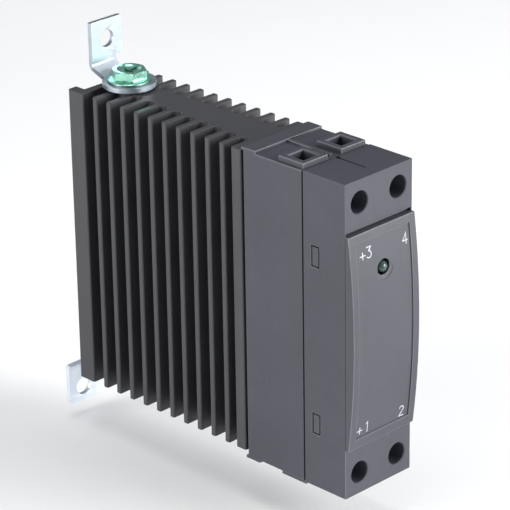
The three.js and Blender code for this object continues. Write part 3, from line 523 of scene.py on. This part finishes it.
# ---------------------------------------------------------------- heatsink
HEATSINK_DEPTH = 60.1
BASE_PLATE = 3.25  # thickness of the plate behind the relay
BACK_PLATE = 5.35  # thickness of the plate on the rail
FIN_COUNT = 10
FIN = 1.62
FIN_PITCH = 4.896
FIRST_FIN = 5.64  # from the base plate's face to the first fin
TIP_RADIUS = 0.45
WEB_RIGHT = (5.4, 4.0)  # half width of the web at the first slot and at the last
WEB_LEFT = (4.7, 2.3)
CHANNEL = (8.5, 3)  # half width and depth of the channel for the rail clip
SAWN_CHAMFER = 0.12
BOSS_RADIUS = 4
CLIP_HOLE = (1.6, 9)  # radius, and depth from the rail face
RELAY_HOLE = (1.75, 6.2)  # radius, and depth from the face behind the relay


def fin_side(web):
    """One side's outline, from the base plate to the back plate, whose slots reach in to the web."""
    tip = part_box("heatsink")[1].x / MM
    first = FIRST_FIN - HEATSINK_DEPTH
    fins = [(first + i * FIN_PITCH, first + i * FIN_PITCH + FIN) for i in range(FIN_COUNT)]
    lands = [(-HEATSINK_DEPTH, BASE_PLATE - HEATSINK_DEPTH), *fins, (-BACK_PLATE, 0)]
    points = []
    for i, (start, end) in enumerate(lands):
        points += arc(tip - TIP_RADIUS, start + TIP_RADIUS, TIP_RADIUS, -90, 0, 5)
        points += arc(tip - TIP_RADIUS, end - TIP_RADIUS, TIP_RADIUS, 0, 90, 5)
        if i < len(lands) - 1:
            radius = (lands[i + 1][0] - end) / 2
            reach = web[0] + (web[1] - web[0]) * i / (len(lands) - 2)
            points += arc(reach + radius, end + radius, radius, 270, 90, 12)
    return points


def heatsink():
    """The extrusion with round fin tips and slot roots, sawn ends, an earth boss and drilled holes."""
    low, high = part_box("heatsink")
    right = fin_side(WEB_RIGHT)
    left = [(-x, y) for x, y in reversed(fin_side(WEB_LEFT))]
    half, depth = CHANNEL
    channel = [(half, 0), (half, -depth), (-half, -depth), (-half, 0)]
    outline = [(x * MM, y * MM) for x, y in right + channel + left]
    bm = swept(outline, low.z, high.z, SAWN_CHAMFER * MM)
    bottom, top = low.z / MM, high.z / MM
    boss = lathe([(0, bottom), (BOSS_RADIUS, bottom), (BOSS_RADIUS, top), (0, top)], 48)
    bm = boolean(bm, scaled(boss, Matrix.Translation((0, EARTH_Y, 0))), "UNION")
    thread_hole = lathe([(0, 29.6), (2.75, 30.4), (2.75, 39.2), (3.1, 39.65), (3.1, 41), (0, 41)], 40)
    bm = boolean(bm, scaled(thread_hole, Matrix.Translation((0, EARTH_Y, 0))))
    radius, depth = RELAY_HOLE
    mouth, end = -HEATSINK_DEPTH - 1, -HEATSINK_DEPTH + depth
    for z in (-RELAY_SCREW_Z, RELAY_SCREW_Z):
        tool = lathe([(0, mouth), (radius, mouth), (radius, end), (0, end)], 24)
        bm = boolean(bm, scaled(tool, Matrix.Translation((0, 0, z)) @ FACING_FRONT))
    radius, depth = CLIP_HOLE
    mouth = 1 - CHANNEL[1]
    for z in (-CLIP_SCREW_Z, CLIP_SCREW_Z):
        tool = lathe([(0, -depth), (radius, -depth), (radius, mouth), (0, mouth)], 24)
        bm = boolean(bm, scaled(tool, Matrix.Translation((CLIP_SCREW_X, 0, z)) @ FACING_FRONT))
    shade(bm)
    piece(bm, "heatsink_extrusion", "root", "anodised_aluminium", ["heatsink"])


heatsink()

# ---------------------------------------------------------------- mouldings
ACCESS_RADIUS = 2.73  # screwdriver holes
ACCESS_DEPTH = 4.4
ACCESS_CHAMFER = (2.92, 0.2)  # outer radius and depth
LID_GROOVE_Z = (27.1, 27.95)
LID_GROOVE_HALF = 10.9  # half width
LID_GROOVE_DEPTH = 1.1
NOTCH_HALF = 0.55  # where the top grooves of the two mouldings meet
NOTCH_LENGTH = 1.1
NOTCH_FLOOR = 39.1


def round_access_holes(bm):
    """Round, slightly chamfered screwdriver holes in place of the CAD's many-sided ones."""
    rim, depth = ACCESS_CHAMFER
    profile = [(0, -1), (rim, -1), (rim, 0), (ACCESS_RADIUS, depth), (ACCESS_RADIUS, ACCESS_DEPTH),
               (0, ACCESS_DEPTH)]
    for x, z in ((x, z) for x in (-CLAMP_X, CLAMP_X) for z in (-CLAMP_Z, CLAMP_Z)):
        bm = boolean(bm, scaled(lathe(profile, 64), Matrix.Translation((x, FRONT_Y, z)) @ FACING_FRONT))
    return bm


def groove_above_lid(bm):
    """Closes the ends of the groove above the lid and deepens it between them."""
    low, high = LID_GROOVE_Z
    for side in (-1, 1):
        start, end = sorted((side * LID_GROOVE_HALF, side * HALF_WIDTH))
        filling = block((start, FRONT_Y, low - 0.2), (end, FRONT_Y + 0.7, high + 0.25))
        bm = boolean(bm, scaled(filling), "UNION")
    groove = block((-LID_GROOVE_HALF, FRONT_Y - 1, low), (LID_GROOVE_HALF, FRONT_Y + LID_GROOVE_DEPTH, high))
    return boolean(bm, scaled(groove))


def cover_details(bm):
    """The front cover's round holes, lid groove, and a notch where the top grooves meet the seam."""
    bm = groove_above_lid(round_access_holes(bm))
    notch = block((-NOTCH_HALF, SEAM - NOTCH_LENGTH, NOTCH_FLOOR), (NOTCH_HALF, SEAM + 0.6, 41))
    return boolean(bm, scaled(notch))


# Places, in millimetres, where the mouldings' edges stay sharp
def beside_lid(place):
    return place.y < FRONT_Y + 0.05 and abs(place.x) > 11 and abs(place.z) < LID_EDGE


def at_access_hole(place):
    across = math.hypot(abs(place.x) - CLAMP_X, abs(place.z) - CLAMP_Z)
    return across < ACCESS_RADIUS + 0.37 and place.y < FRONT_Y + 5


def in_top_groove(place):
    return abs(place.x) < 1.2 and place.z > 39 and place.y < SEAM + 3


def at_seam(place):
    outside = abs(place.x) > 10.5 or abs(place.z) > 39.2
    return outside and SEAM - 0.3 < place.y < SEAM + 0.25


def sharp_on_cover(place):
    return beside_lid(place) or at_seam(place) or at_access_hole(place) or in_top_groove(place)


refined("rear_housing", 0.22, keep=lambda place: at_seam(place) or in_top_groove(place))
refined("front_cover", 0.15, planes=[((0, 0, -LID_EDGE), (0, 0, 1))], prepare=cover_details,
        keep=sharp_on_cover)
refined("label_lid", 0.15, keep=lambda place: place.y > FRONT_Y - 0.07)
refined("rail_clip_base", 0.2)


# ---------------------------------------------------------------- bent sheet metal
class Bend:
    """The middle line of a bent sheet in the YZ plane, with an arc at each bend, in millimetres."""

    def __init__(self, line, radius, steps=8):
        line = [Vector(p) for p in line]
        self.path = [line[0]]
        for a, b, c in zip(line, line[1:], line[2:]):
            u, v = (a - b).normalized(), (c - b).normalized()
            half = u.angle(v) / 2
            reach = radius / math.tan(half)
            start, end = b + u * reach, b + v * reach
            centre = b + (u + v).normalized() * (radius / math.sin(half))
            arm = start - centre
            turn = -arm.angle_signed(end - centre)
            for i in range(steps + 1):
                c_i, s_i = math.cos(turn * i / steps), math.sin(turn * i / steps)
                self.path.append(centre + Vector((arm.x * c_i - arm.y * s_i, arm.x * s_i + arm.y * c_i)))
        self.path.append(line[-1])
        self.stations = [0.0]
        for a, b in zip(self.path, self.path[1:]):
            self.stations.append(self.stations[-1] + (b - a).length)

    def at(self, s):
        """The point at a distance along the line, and the sheet's normal there."""
        i = max(0, min(len(self.path) - 2, sum(1 for t in self.stations[1:-1] if t <= s)))
        along = (self.path[i + 1] - self.path[i]).normalized()
        return self.path[i] + along * (s - self.stations[i]), Vector((-along.y, along.x))

    def along(self, y, z):
        """The distance along the line of its point nearest to (y, z)."""
        place = Vector((y, z))
        best = (1e9, 0.0)
        for i, (a, b) in enumerate(zip(self.path, self.path[1:])):
            step = b - a
            t = max(0.0, min(1.0, (place - a).dot(step) / step.length_squared))
            best = min(best, ((a + step * t - place).length, self.stations[i] + step.length * t))
        return best[1]


def bent_sheet(bend, outline, holes, thickness, rim=0.12):
    """Sheet cut to loops of (x, s) pairs, where s runs along the bend's line, with rounded rims."""
    flat = bmesh.new()
    loops = [[Vector((x, s, 0)) for x, s in loop] for loop in (outline, *holes)]
    corners = [flat.verts.new(p) for loop in loops for p in loop]
    for triangle in geometry.tessellate_polygon(loops):
        flat.faces.new([corners[i] for i in triangle])
    bmesh.ops.dissolve_limit(flat, angle_limit=0.01, verts=flat.verts, edges=flat.edges)
    for s in bend.stations[1:-1]:
        bmesh.ops.bisect_plane(flat, geom=[*flat.verts, *flat.edges, *flat.faces], dist=1e-5,
                               plane_co=(0, s, 0), plane_no=(0, 1, 0))
    bm = bmesh.new()
    sides = []
    for offset in (-thickness / 2, thickness / 2):
        verts = {}
        for v in flat.verts:
            here, normal = bend.at(v.co.y)
            place = here + normal * offset
            verts[v] = bm.verts.new((v.co.x, place.x, place.y))
        sides.append(verts)
        for face in flat.faces:
            bm.faces.new([verts[v] for v in face.verts])
    for edge in flat.edges:
        if edge.is_boundary:
            a, b = edge.verts
            bm.faces.new([sides[0][a], sides[0][b], sides[1][b], sides[1][a]])
    flat.free()
    bmesh.ops.recalc_face_normals(bm, faces=bm.faces)
    rims = [e for e in bm.edges if e.is_manifold and e.calc_face_angle() > math.radians(60)]
    bmesh.ops.bevel(bm, geom=rims, offset=rim, segments=2, profile=0.5, affect="EDGES", clamp_overlap=True)
    return bm


BRACKET_THICKNESS = 1.2
BRACKET_FOOT_RADIUS = 6.7
BRACKET_NECK = 3  # half width of the ramp at the foot
BRACKET_TAB_X = (-4.8, 5.2)
BRACKET_TAB_HOLE = (0.2, 50.4, 2.25)  # x, z and radius
BRACKET_FOOT_Z = 40.9  # middle of the sheet in the foot
BRACKET_BENDS = (-4.4, -1.55)  # y of the foot's bend and of the tab's
LATCH_THICKNESS = 1.3
LATCH_Y = 1.3 + LATCH_THICKNESS / 2  # middle of the sheet along the rail
HANDLE_Y = 4.5 + LATCH_THICKNESS / 2  # middle of the sheet in the offset handle
JOGGLE_Z = (-34.2, -37.6)
STEM = 5  # half width of the slider
HANDLE_X = (-11.1, -1)
HANDLE_CORNER = 1.4
WINDOW = (2.2, -31, -20.1)  # half width, low and high z
HANDLE_HOLE = (-6.3, -44.7, 2.35)  # x, z and corner radius


def earth_bracket():
    """Round foot, ramp and upright tab."""
    foot_bend, tab_bend = BRACKET_BENDS
    left, right = BRACKET_TAB_X
    top_z = extents("earth_bracket")[1][2]
    foot_end = EARTH_Y - BRACKET_FOOT_RADIUS
    bend = Bend([(foot_end, BRACKET_FOOT_Z), (foot_bend, BRACKET_FOOT_Z), (tab_bend, 44.3),
                 (tab_bend, top_z)], 1.6)
    foot, shoulder = bend.along(foot_bend, BRACKET_FOOT_Z), bend.along(tab_bend, 45.5)
    top = bend.stations[-1]
    to_s = bend.along(EARTH_Y, BRACKET_FOOT_Z)
    chord = math.degrees(math.asin((foot_bend - EARTH_Y) / BRACKET_FOOT_RADIUS))
    outline = arc(0, to_s, BRACKET_FOOT_RADIUS, chord, -180 - chord, 44)
    outline += [(-BRACKET_NECK, foot), (left, bend.along(-2.15, 43.6)), (left, top - 0.2),
                (left + 0.2, top), (right - 0.2, top), (right, top - 0.2), (right, shoulder),
                (BRACKET_NECK + 0.2, shoulder), (BRACKET_NECK, shoulder - 0.2), (BRACKET_NECK, foot)]
    x, z, radius = BRACKET_TAB_HOLE
    holes = [arc(0, to_s, 2.75, 0, 352.5, 47), arc(x, bend.along(tab_bend, z), radius, 0, 352.5, 47)]
    bm = scaled(bent_sheet(bend, outline, holes, BRACKET_THICKNESS, 0.14))
    shade(bm)
    piece(bm, "earth_bracket_bent", "root", "zinc_plate", ["earth_bracket"])


def rail_latch():
    """Slider with a thinned nose, spring window, joggle and the offset handle with its hole."""
    (_, _, bottom), (_, _, nose_z) = extents("rail_latch")
    bend = Bend([(LATCH_Y, nose_z), (LATCH_Y, JOGGLE_Z[0]), (HANDLE_Y, JOGGLE_Z[1]), (HANDLE_Y, bottom)],
                1.9)

    def station(z):
        return bend.along(HANDLE_Y if z < JOGGLE_Z[1] else LATCH_Y, z)

    end = bend.stations[-1]
    left, right = HANDLE_X
    corner = HANDLE_CORNER
    outline = [(STEM, station(-41.5)), (STEM, 0.3), (STEM - 0.3, 0), (0.3 - STEM, 0), (-STEM, 0.3),
               (-STEM, station(-37.75)), (left + 0.4, station(-37.75)), (left, station(-38.15))]
    outline += arc(left + corner, end - corner, corner, 180, 90, 8)
    outline += arc(right - corner, end - corner, corner, 90, 0, 8)
    outline += [(right, station(-41.9)), (right + 0.4, station(-41.5))]
    half, low, high = WINDOW
    low, high = station(low), station(high)
    window = [(-half, low), (half, low), (half, high), (-half, high)]
    hole_x, hole_z, radius = HANDLE_HOLE
    hole_s = station(hole_z)
    handle = []
    for start, side_x, side_s in ((0, 1, 1), (90, -1, 1), (180, -1, -1), (270, 1, -1)):
        handle += arc(hole_x + side_x * 0.15, hole_s + side_s * 0.05, radius, start, start + 90, 10)
    bm = bent_sheet(bend, outline, [window, handle], LATCH_THICKNESS, 0.14)
    beside_nose = block((-6, 2.2, nose_z - 0.9), (6, 4.2, -14))
    bm = scaled(boolean(bm, beside_nose))
    shade(bm)
    # The latch wears the lightened zinc: painted light against the shaded floor it reflects
    piece(bm, "rail_latch_bent", "latch", "zinc_plate", ["rail_latch"], [LIGHTENED_MATT_ZINC])


earth_bracket()
rail_latch()


# ---------------------------------------------------------------- screws and washers
def recessed(bm, head, boxes):
    """Cuts boxes, given as half sizes in X and Y and a depth, into a head whose top is at the height head."""
    for half_x, half_y, depth in boxes:
        bm = boolean(bm, block((-half_x, -half_y, head - depth), (half_x, half_y, head + 1)))
    return bm


def finished_screw(bm, name, matrix, body, slot, node, width=0.08):
    """Rounds a screw's longer sharp rims, places it and makes it stand for its CAD node."""
    tidy(bm)
    rims = [e for e in bm.edges if e.is_manifold and e.calc_face_angle() > math.radians(50)
            and e.calc_length() > 0.25]
    bmesh.ops.bevel(bm, geom=rims, offset=width, segments=2, profile=0.5, affect="EDGES", clamp_overlap=True)
    scaled(bm, matrix)
    shade(bm)
    return piece(bm, name, body, slot, [node])


FLANGE_Z = 41.85  # underside of the earth screw's flange
HEX_ACROSS_FLATS = 8
EARTH_PITCH, EARTH_THREAD_DEPTH = 0.8, 0.42
CLAMP_PITCH, CLAMP_THREAD_DEPTH = 0.7, 0.34
SMALL_PITCH = 0.5  # relay and clip screws


def earth_screw():
    """M5 screw with a flanged hexagon head, dished top, slot and cross."""
    low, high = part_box("earth_screw")
    tip, top = low.z / MM, high.z / MM
    flange = FLANGE_Z
    profile = [(0, tip), (1.7, tip), (2.4, tip + 0.8), (2.4, flange - 0.05), (2.4, flange), (5.38, flange),
               (5.5, flange + 0.1), (5.5, flange + 0.2), (5.38, flange + 0.3), (4.6, flange + 0.58),
               (0, flange + 0.58)]
    bm = lathe(profile, 48, (tip + 0.8, flange - 0.4, EARTH_PITCH, EARTH_THREAD_DEPTH))
    corner = round(HEX_ACROSS_FLATS / math.sqrt(3), 4)
    hexagon = swept(arc(0, 0, corner, 0, 300, 5), flange + 0.4, top)
    dome = lathe([(0, flange), (5.6, flange), (5.6, top - 0.85), (4.75, top - 0.48), (4.35, top - 0.2),
                  (3.95, top - 0.03), (3.7, top), (0, top)], 64)
    hexagon = boolean(hexagon, dome, "INTERSECT")
    bm = boolean(bm, hexagon, "UNION")
    dish = lathe([(0, top - 0.68), (1.6, top - 0.64), (2.5, top - 0.45), (2.95, top - 0.12), (3.05, top),
                  (3.05, top + 1), (0, top + 1)], 48)
    bm = boolean(bm, dish)
    bm = recessed(bm, top, ((2.6, 0.45, 1.6), (0.45, 1.9, 1.6)))
    place = Matrix.Translation((0, EARTH_Y, 0))
    finished_screw(bm, "earth_screw_threaded", place, "earth_screw", "green_zinc", "earth_screw")


def clamp_screw(number, x, z):
    """Terminal screw with a pan head, slot and cross, turned to face the front."""
    node = f"clamp_screw_{number}"
    low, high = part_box(node)
    head, tip = low.y / MM, high.y / MM
    profile = [(0, head), (2.3, head), (2.62, head + 0.14), (2.8, head + 0.45), (2.8, head + 1.75),
               (2.65, head + 1.9), (1.75, head + 1.9), (1.75, tip - 0.5), (1.3, tip), (0, tip)]
    bm = lathe(profile, 40, (head + 2.1, tip - 0.5, CLAMP_PITCH, CLAMP_THREAD_DEPTH))
    bm = boolean(bm, block((-3, -0.4, head - 1), (3, 0.4, head + 0.9)))
    bm = boolean(bm, block((-0.4, -1.8, head - 1), (0.4, 1.8, head + 1.2)))
    finished_screw(bm, node + "_threaded", Matrix.Translation((x, 0, z)) @ FACING_FRONT, node, "zinc_plate",
                   node)


def crossed_screw(node, profile, thread, cross, x, z):
    """A hidden or flush screw along Y, from (radius, y) pairs. Its cross is given as the half length
    and half width of an arm, and the y where it starts and ends."""
    bm = lathe(profile, 32, thread)
    long, short, start, end = cross
    bm = boolean(bm, block((-long, -short, start), (long, short, end)))
    bm = boolean(bm, block((-short, -long, start), (short, long, end)))
    place = Matrix.Translation((x, 0, z)) @ FACING_FRONT
    finished_screw(bm, node + "_threaded", place, "root", "zinc_plate", node, 0.06)


def relay_screw(node, z):
    """Pan-head screw from inside the relay into the heatsink."""
    low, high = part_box(node)
    head, tip = low.y / MM, high.y / MM
    seat = head + 2
    profile = [(0, head), (1.5, head), (2.1, head + 0.2), (2.5, head + 0.75), (2.6, seat), (1.4, seat),
               (1.4, tip - 0.5), (0.9, tip), (0, tip)]
    crossed_screw(node, profile, (seat + 0.4, tip - 0.5, SMALL_PITCH, 0.22),
                  (1.3, 0.35, head - 1, head + 1.3), 0, z)


def clip_screw(node, z):
    """Countersunk screw that holds the rail clip."""
    profile = [(0, -8.3), (0.9, -8.3), (1.35, -7.8), (1.35, -1.9), (2.86, -0.36), (2.9, -0.28),
               (2.9, -0.18), (2.82, -0.1), (0, -0.1)]
    crossed_screw(node, profile, (-7.8, -2.1, SMALL_PITCH, 0.24), (1.6, 0.35, -1.3, 1), CLIP_SCREW_X, z)


earth_screw()
for number in range(1, 5):
    clamp_screw(number, CLAMP_X * (1 if number in (2, 4) else -1), CLAMP_Z * (1 if number > 2 else -1))
relay_screw("relay_screw_upper", RELAY_SCREW_Z)
relay_screw("relay_screw_lower", -RELAY_SCREW_Z)
clip_screw("clip_screw_upper", CLIP_SCREW_Z)
clip_screw("clip_screw_lower", -CLIP_SCREW_Z)

refined("earth_captive_washer", 0.08)
refined("earth_tooth_washer", 0.05)
for number in range(1, 5):
    refined(f"clamp_cage_{number}", 0.12)
    refined(f"busbar_{number}", 0.12)


# ---------------------------------------------------------------- latch spring
def latch_spring():
    """Compression spring of round wire with closed ends, flattened by the latch."""
    low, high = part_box("latch_spring")
    wire, radius, turns, sides, steps = 0.22 * MM, 1.3 * MM, 6.5, 12, 36
    bottom, top = low.z + wire, high.z - wire
    centre = Vector((0, (low.y + high.y) / 2, 0))
    count = int(turns * steps)
    bm = bmesh.new()
    rings = []
    for i in range(count + 1):
        t = i / count
        eased = 0.35 * t * t * (3 - 2 * t) + 0.65 * t
        angle = 2 * math.pi * turns * t
        out = Vector((math.cos(angle), math.sin(angle), 0))
        here = centre + out * radius + Vector((0, 0, bottom + (top - bottom) * eased))
        rings.append([bm.verts.new(here + out * (wire * math.cos(a)) + Vector((0, 0, wire * math.sin(a))))
                      for a in (2 * math.pi * k / sides for k in range(sides))])
    for a, b in zip(rings, rings[1:]):
        for k in range(sides):
            bm.faces.new((a[k], a[(k + 1) % sides], b[(k + 1) % sides], b[k]))
    bm.faces.new(rings[0])
    bm.faces.new(rings[-1])
    shade(bm)
    spring = piece(bm, "latch_spring_wire", "root", "spring_steel", ["latch_spring"], weighted=False)
    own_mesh(spring)


latch_spring()


# ---------------------------------------------------------------- status lamp
def status_lamp():
    """Clear domed lens round a cup on its post, on two leads."""
    low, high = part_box("status_led")
    front = low.y / MM
    lie = Matrix.Translation((0, 0, LAMP_Z)) @ FACING_FRONT
    dome = arc(0, front + 1.45, 1.45, -90, 0, 12)
    dome[0] = (0, front)
    profile = dome + [(1.45, front + 4.75), (1.55, front + 4.82), (1.8, front + 4.84), (1.85, front + 4.9),
                      (1.85, front + 5.5), (1.78, front + 5.6), (0, front + 5.6)]
    bm = scaled(lathe(profile, 40), lie)
    shade(bm)
    piece(bm, "status_led_lens", "root", "led_lens", ["status_led"])
    cup = lathe([(0, front + 1.75), (0.28, front + 1.75), (0.55, front + 1.3), (0.62, front + 1.3),
                 (0.5, front + 2.3), (0.3, front + 2.6), (0.3, front + 5.0), (0, front + 5.0)], 28)
    bm = scaled(cup, lie)
    shade(bm)
    piece(bm, "status_led_cup", "root", "tinned_copper")
    for side, name in ((-1.27, "left"), (1.27, "right")):
        bm = block((side - 0.25, front + 5.1, -0.25), (side + 0.25, high.y / MM, 0.25))
        round_edges(bm, 0.06)
        scaled(bm, Matrix.Translation((0, 0, LAMP_Z)))
        shade(bm)
        piece(bm, f"status_led_lead_{name}", "root", "tinned_copper")


status_lamp()

# ---------------------------------------------------------------- electronics and power stage
for node, width in (("led_spacer", 0.1), ("control_board", 0.05), ("optocoupler", 0.08),
                    ("gate_driver", 0.06), ("input_capacitor", 0.08), ("bleed_resistor", 0.08),
                    ("input_resistor", 0.08), ("gate_resistor", 0.08), ("clamp_diode", 0.08),
                    ("heat_spreader", 0.12), ("thermal_pad", 0.08), ("ceramic_plate", 0.05),
                    ("mosfet_die_1", 0.03), ("mosfet_die_2", 0.03), ("flyback_die", 0.03)):
    refined(node, width)


# ---------------------------------------------------------------- terminal numbers
STROKES = {
    "plus": [[(-0.8, 0), (0.8, 0)], [(0, -0.8), (0, 0.8)]],
    "1": [[(-0.4, 0.9), (0.1, 1.3), (0.1, -1.3)]],
    "2": [arc(0, 0.62, 0.68, 160, -38, 10) + [(-0.7, -1.3), (0.75, -1.3)]],
    "3": [[(-0.65, 1.3), (0.65, 1.3), (-0.05, 0.3)] + arc(-0.05, -0.5, 0.8, 90, -140, 12)],
    "4": [[(0.35, -1.3), (0.35, 1.3), (-0.8, -0.5), (0.8, -0.5)]],
}


def stroke_rails(stroke, width):
    """The two long sides of a pen stroke, which also runs half its width past each end."""
    points = [Vector(p) for p in stroke]
    directions = [(b - a).normalized() for a, b in zip(points, points[1:])]
    points[0] -= directions[0] * width / 2
    points[-1] += directions[-1] * width / 2
    rails = ([], [])
    for i, p in enumerate(points):
        a, b = directions[max(i - 1, 0)], directions[min(i, len(directions) - 1)]
        normal = Vector((-(a + b).y, (a + b).x)).normalized()
        reach = width / 2 / max(0.5, normal.dot(Vector((-b.y, b.x))))
        for rail, side in zip(rails, (1, -1)):
            rail.append(p + normal * side * reach)
    return rails


def field_y(z):
    """The lid's crowned field at a height, in millimetres."""
    return FRONT_Y - LID_RISE + LID_FIELD_DEPTH + LID_RADIUS - math.sqrt(LID_RADIUS ** 2 - z ** 2)


def printed(name, strokes, x, z, width=0.25, thickness=0.02, sunk=0.015):
    """Thin printed strokes that follow the crowned field of the lid."""
    bm = bmesh.new()
    for level, stroke in enumerate(strokes):
        rails = stroke_rails(stroke, width)
        outline = rails[0] + rails[1][::-1]
        # A second stroke stands a little higher, so that crossing faces don't coincide
        layers = [[bm.verts.new((x + p.x, field_y(z + p.y) + depth, z + p.y)) for p in outline]
                  for depth in (-thickness - 0.002 * level, sunk)]
        count = len(rails[0])
        last = 2 * count - 1
        for i in range(count - 1):
            for layer in layers:
                bm.faces.new((layer[i], layer[i + 1], layer[last - i - 1], layer[last - i]))
        for i in range(2 * count):
            j = (i + 1) % (2 * count)
            bm.faces.new((layers[0][i], layers[0][j], layers[1][j], layers[1][i]))
    scaled(bm)
    shade(bm)
    piece(bm, name, "root", None, materials=[INK], weighted=False)


for name, glyph, x, z in (("number_3_plus", "plus", -6.83, 21.55), ("number_3", "3", -4.7, 21.94),
                          ("number_4", "4", 7.45, 21.62), ("number_1_plus", "plus", -7.7, -22.7),
                          ("number_1", "1", -5.2, -22.4), ("number_2", "2", 6.65, -22.6)):
    printed(name, STROKES[glyph], x, z)


# ---------------------------------------------------------------- stage, light and camera
def stage_material():
    """Pale painted floor, almost even."""
    m = Finish("pale_floor", (0.95, 0.95, 0.95), 0.7)
    return m.finish(m.toned(m.noise(9, 2), 0.01), m.spread(m.noise(40, 2), 0.6, 0.8))


def floor(height):
    bm = bmesh.new()
    bmesh.ops.create_grid(bm, x_segments=1, y_segments=1, size=6, matrix=Matrix.Translation((0, 0, height)))
    mesh = bpy.data.meshes.new("floor")
    bm.to_mesh(mesh)
    bm.free()
    obj = bpy.data.objects.new("floor", mesh)
    bpy.context.scene.collection.objects.link(obj)
    mesh.materials.append(stage_material())


def softbox(name, place, size, power, target=(0, -0.045, 0)):
    """A round area light at a place, aimed at the target."""
    light = bpy.data.lights.new(name, "AREA")
    light.shape, light.size, light.energy = "DISK", size, power
    obj = bpy.data.objects.new(name, light)
    bpy.context.scene.collection.objects.link(obj)
    obj.location = place
    obj.rotation_euler = (Vector(target) - Vector(place)).to_track_quat("-Z", "Y").to_euler()


def camera():
    data = bpy.data.cameras.new("camera")
    data.lens, data.sensor_width = 200.83, 36
    data.clip_start, data.clip_end = 0.01, 50
    obj = bpy.data.objects.new("camera", data)
    bpy.context.scene.collection.objects.link(obj)
    obj.location = (-0.44117, -0.49922, 0.28099)
    obj.rotation_euler = [math.radians(a) for a in (66.4334, 0.8528, -45.0497)]
    bpy.context.scene.camera = obj


floor(cad_box[0].z - (LATCH_TRAVEL + 1) * MM)  # a millimetre below the latch when it is pulled
softbox("key", (0.55, -1.1, 0.32), 0.8, 22)
softbox("left", (-1.2, 0.35, 0.28), 0.8, 14)
softbox("top", (-0.1, -0.1, 1.3), 0.8, 6)
softbox("fill", (0.79, -0.64, 0.85), 0.8, 1.8)
world = bpy.data.worlds.new("studio")
world.use_nodes = True
world.node_tree.nodes["Background"].inputs["Color"].default_value = (0.92, 0.95, 1.0, 1)
world.node_tree.nodes["Background"].inputs["Strength"].default_value = 0.3
bpy.context.scene.world = world
bpy.context.scene.view_settings.view_transform = "Standard"
camera()
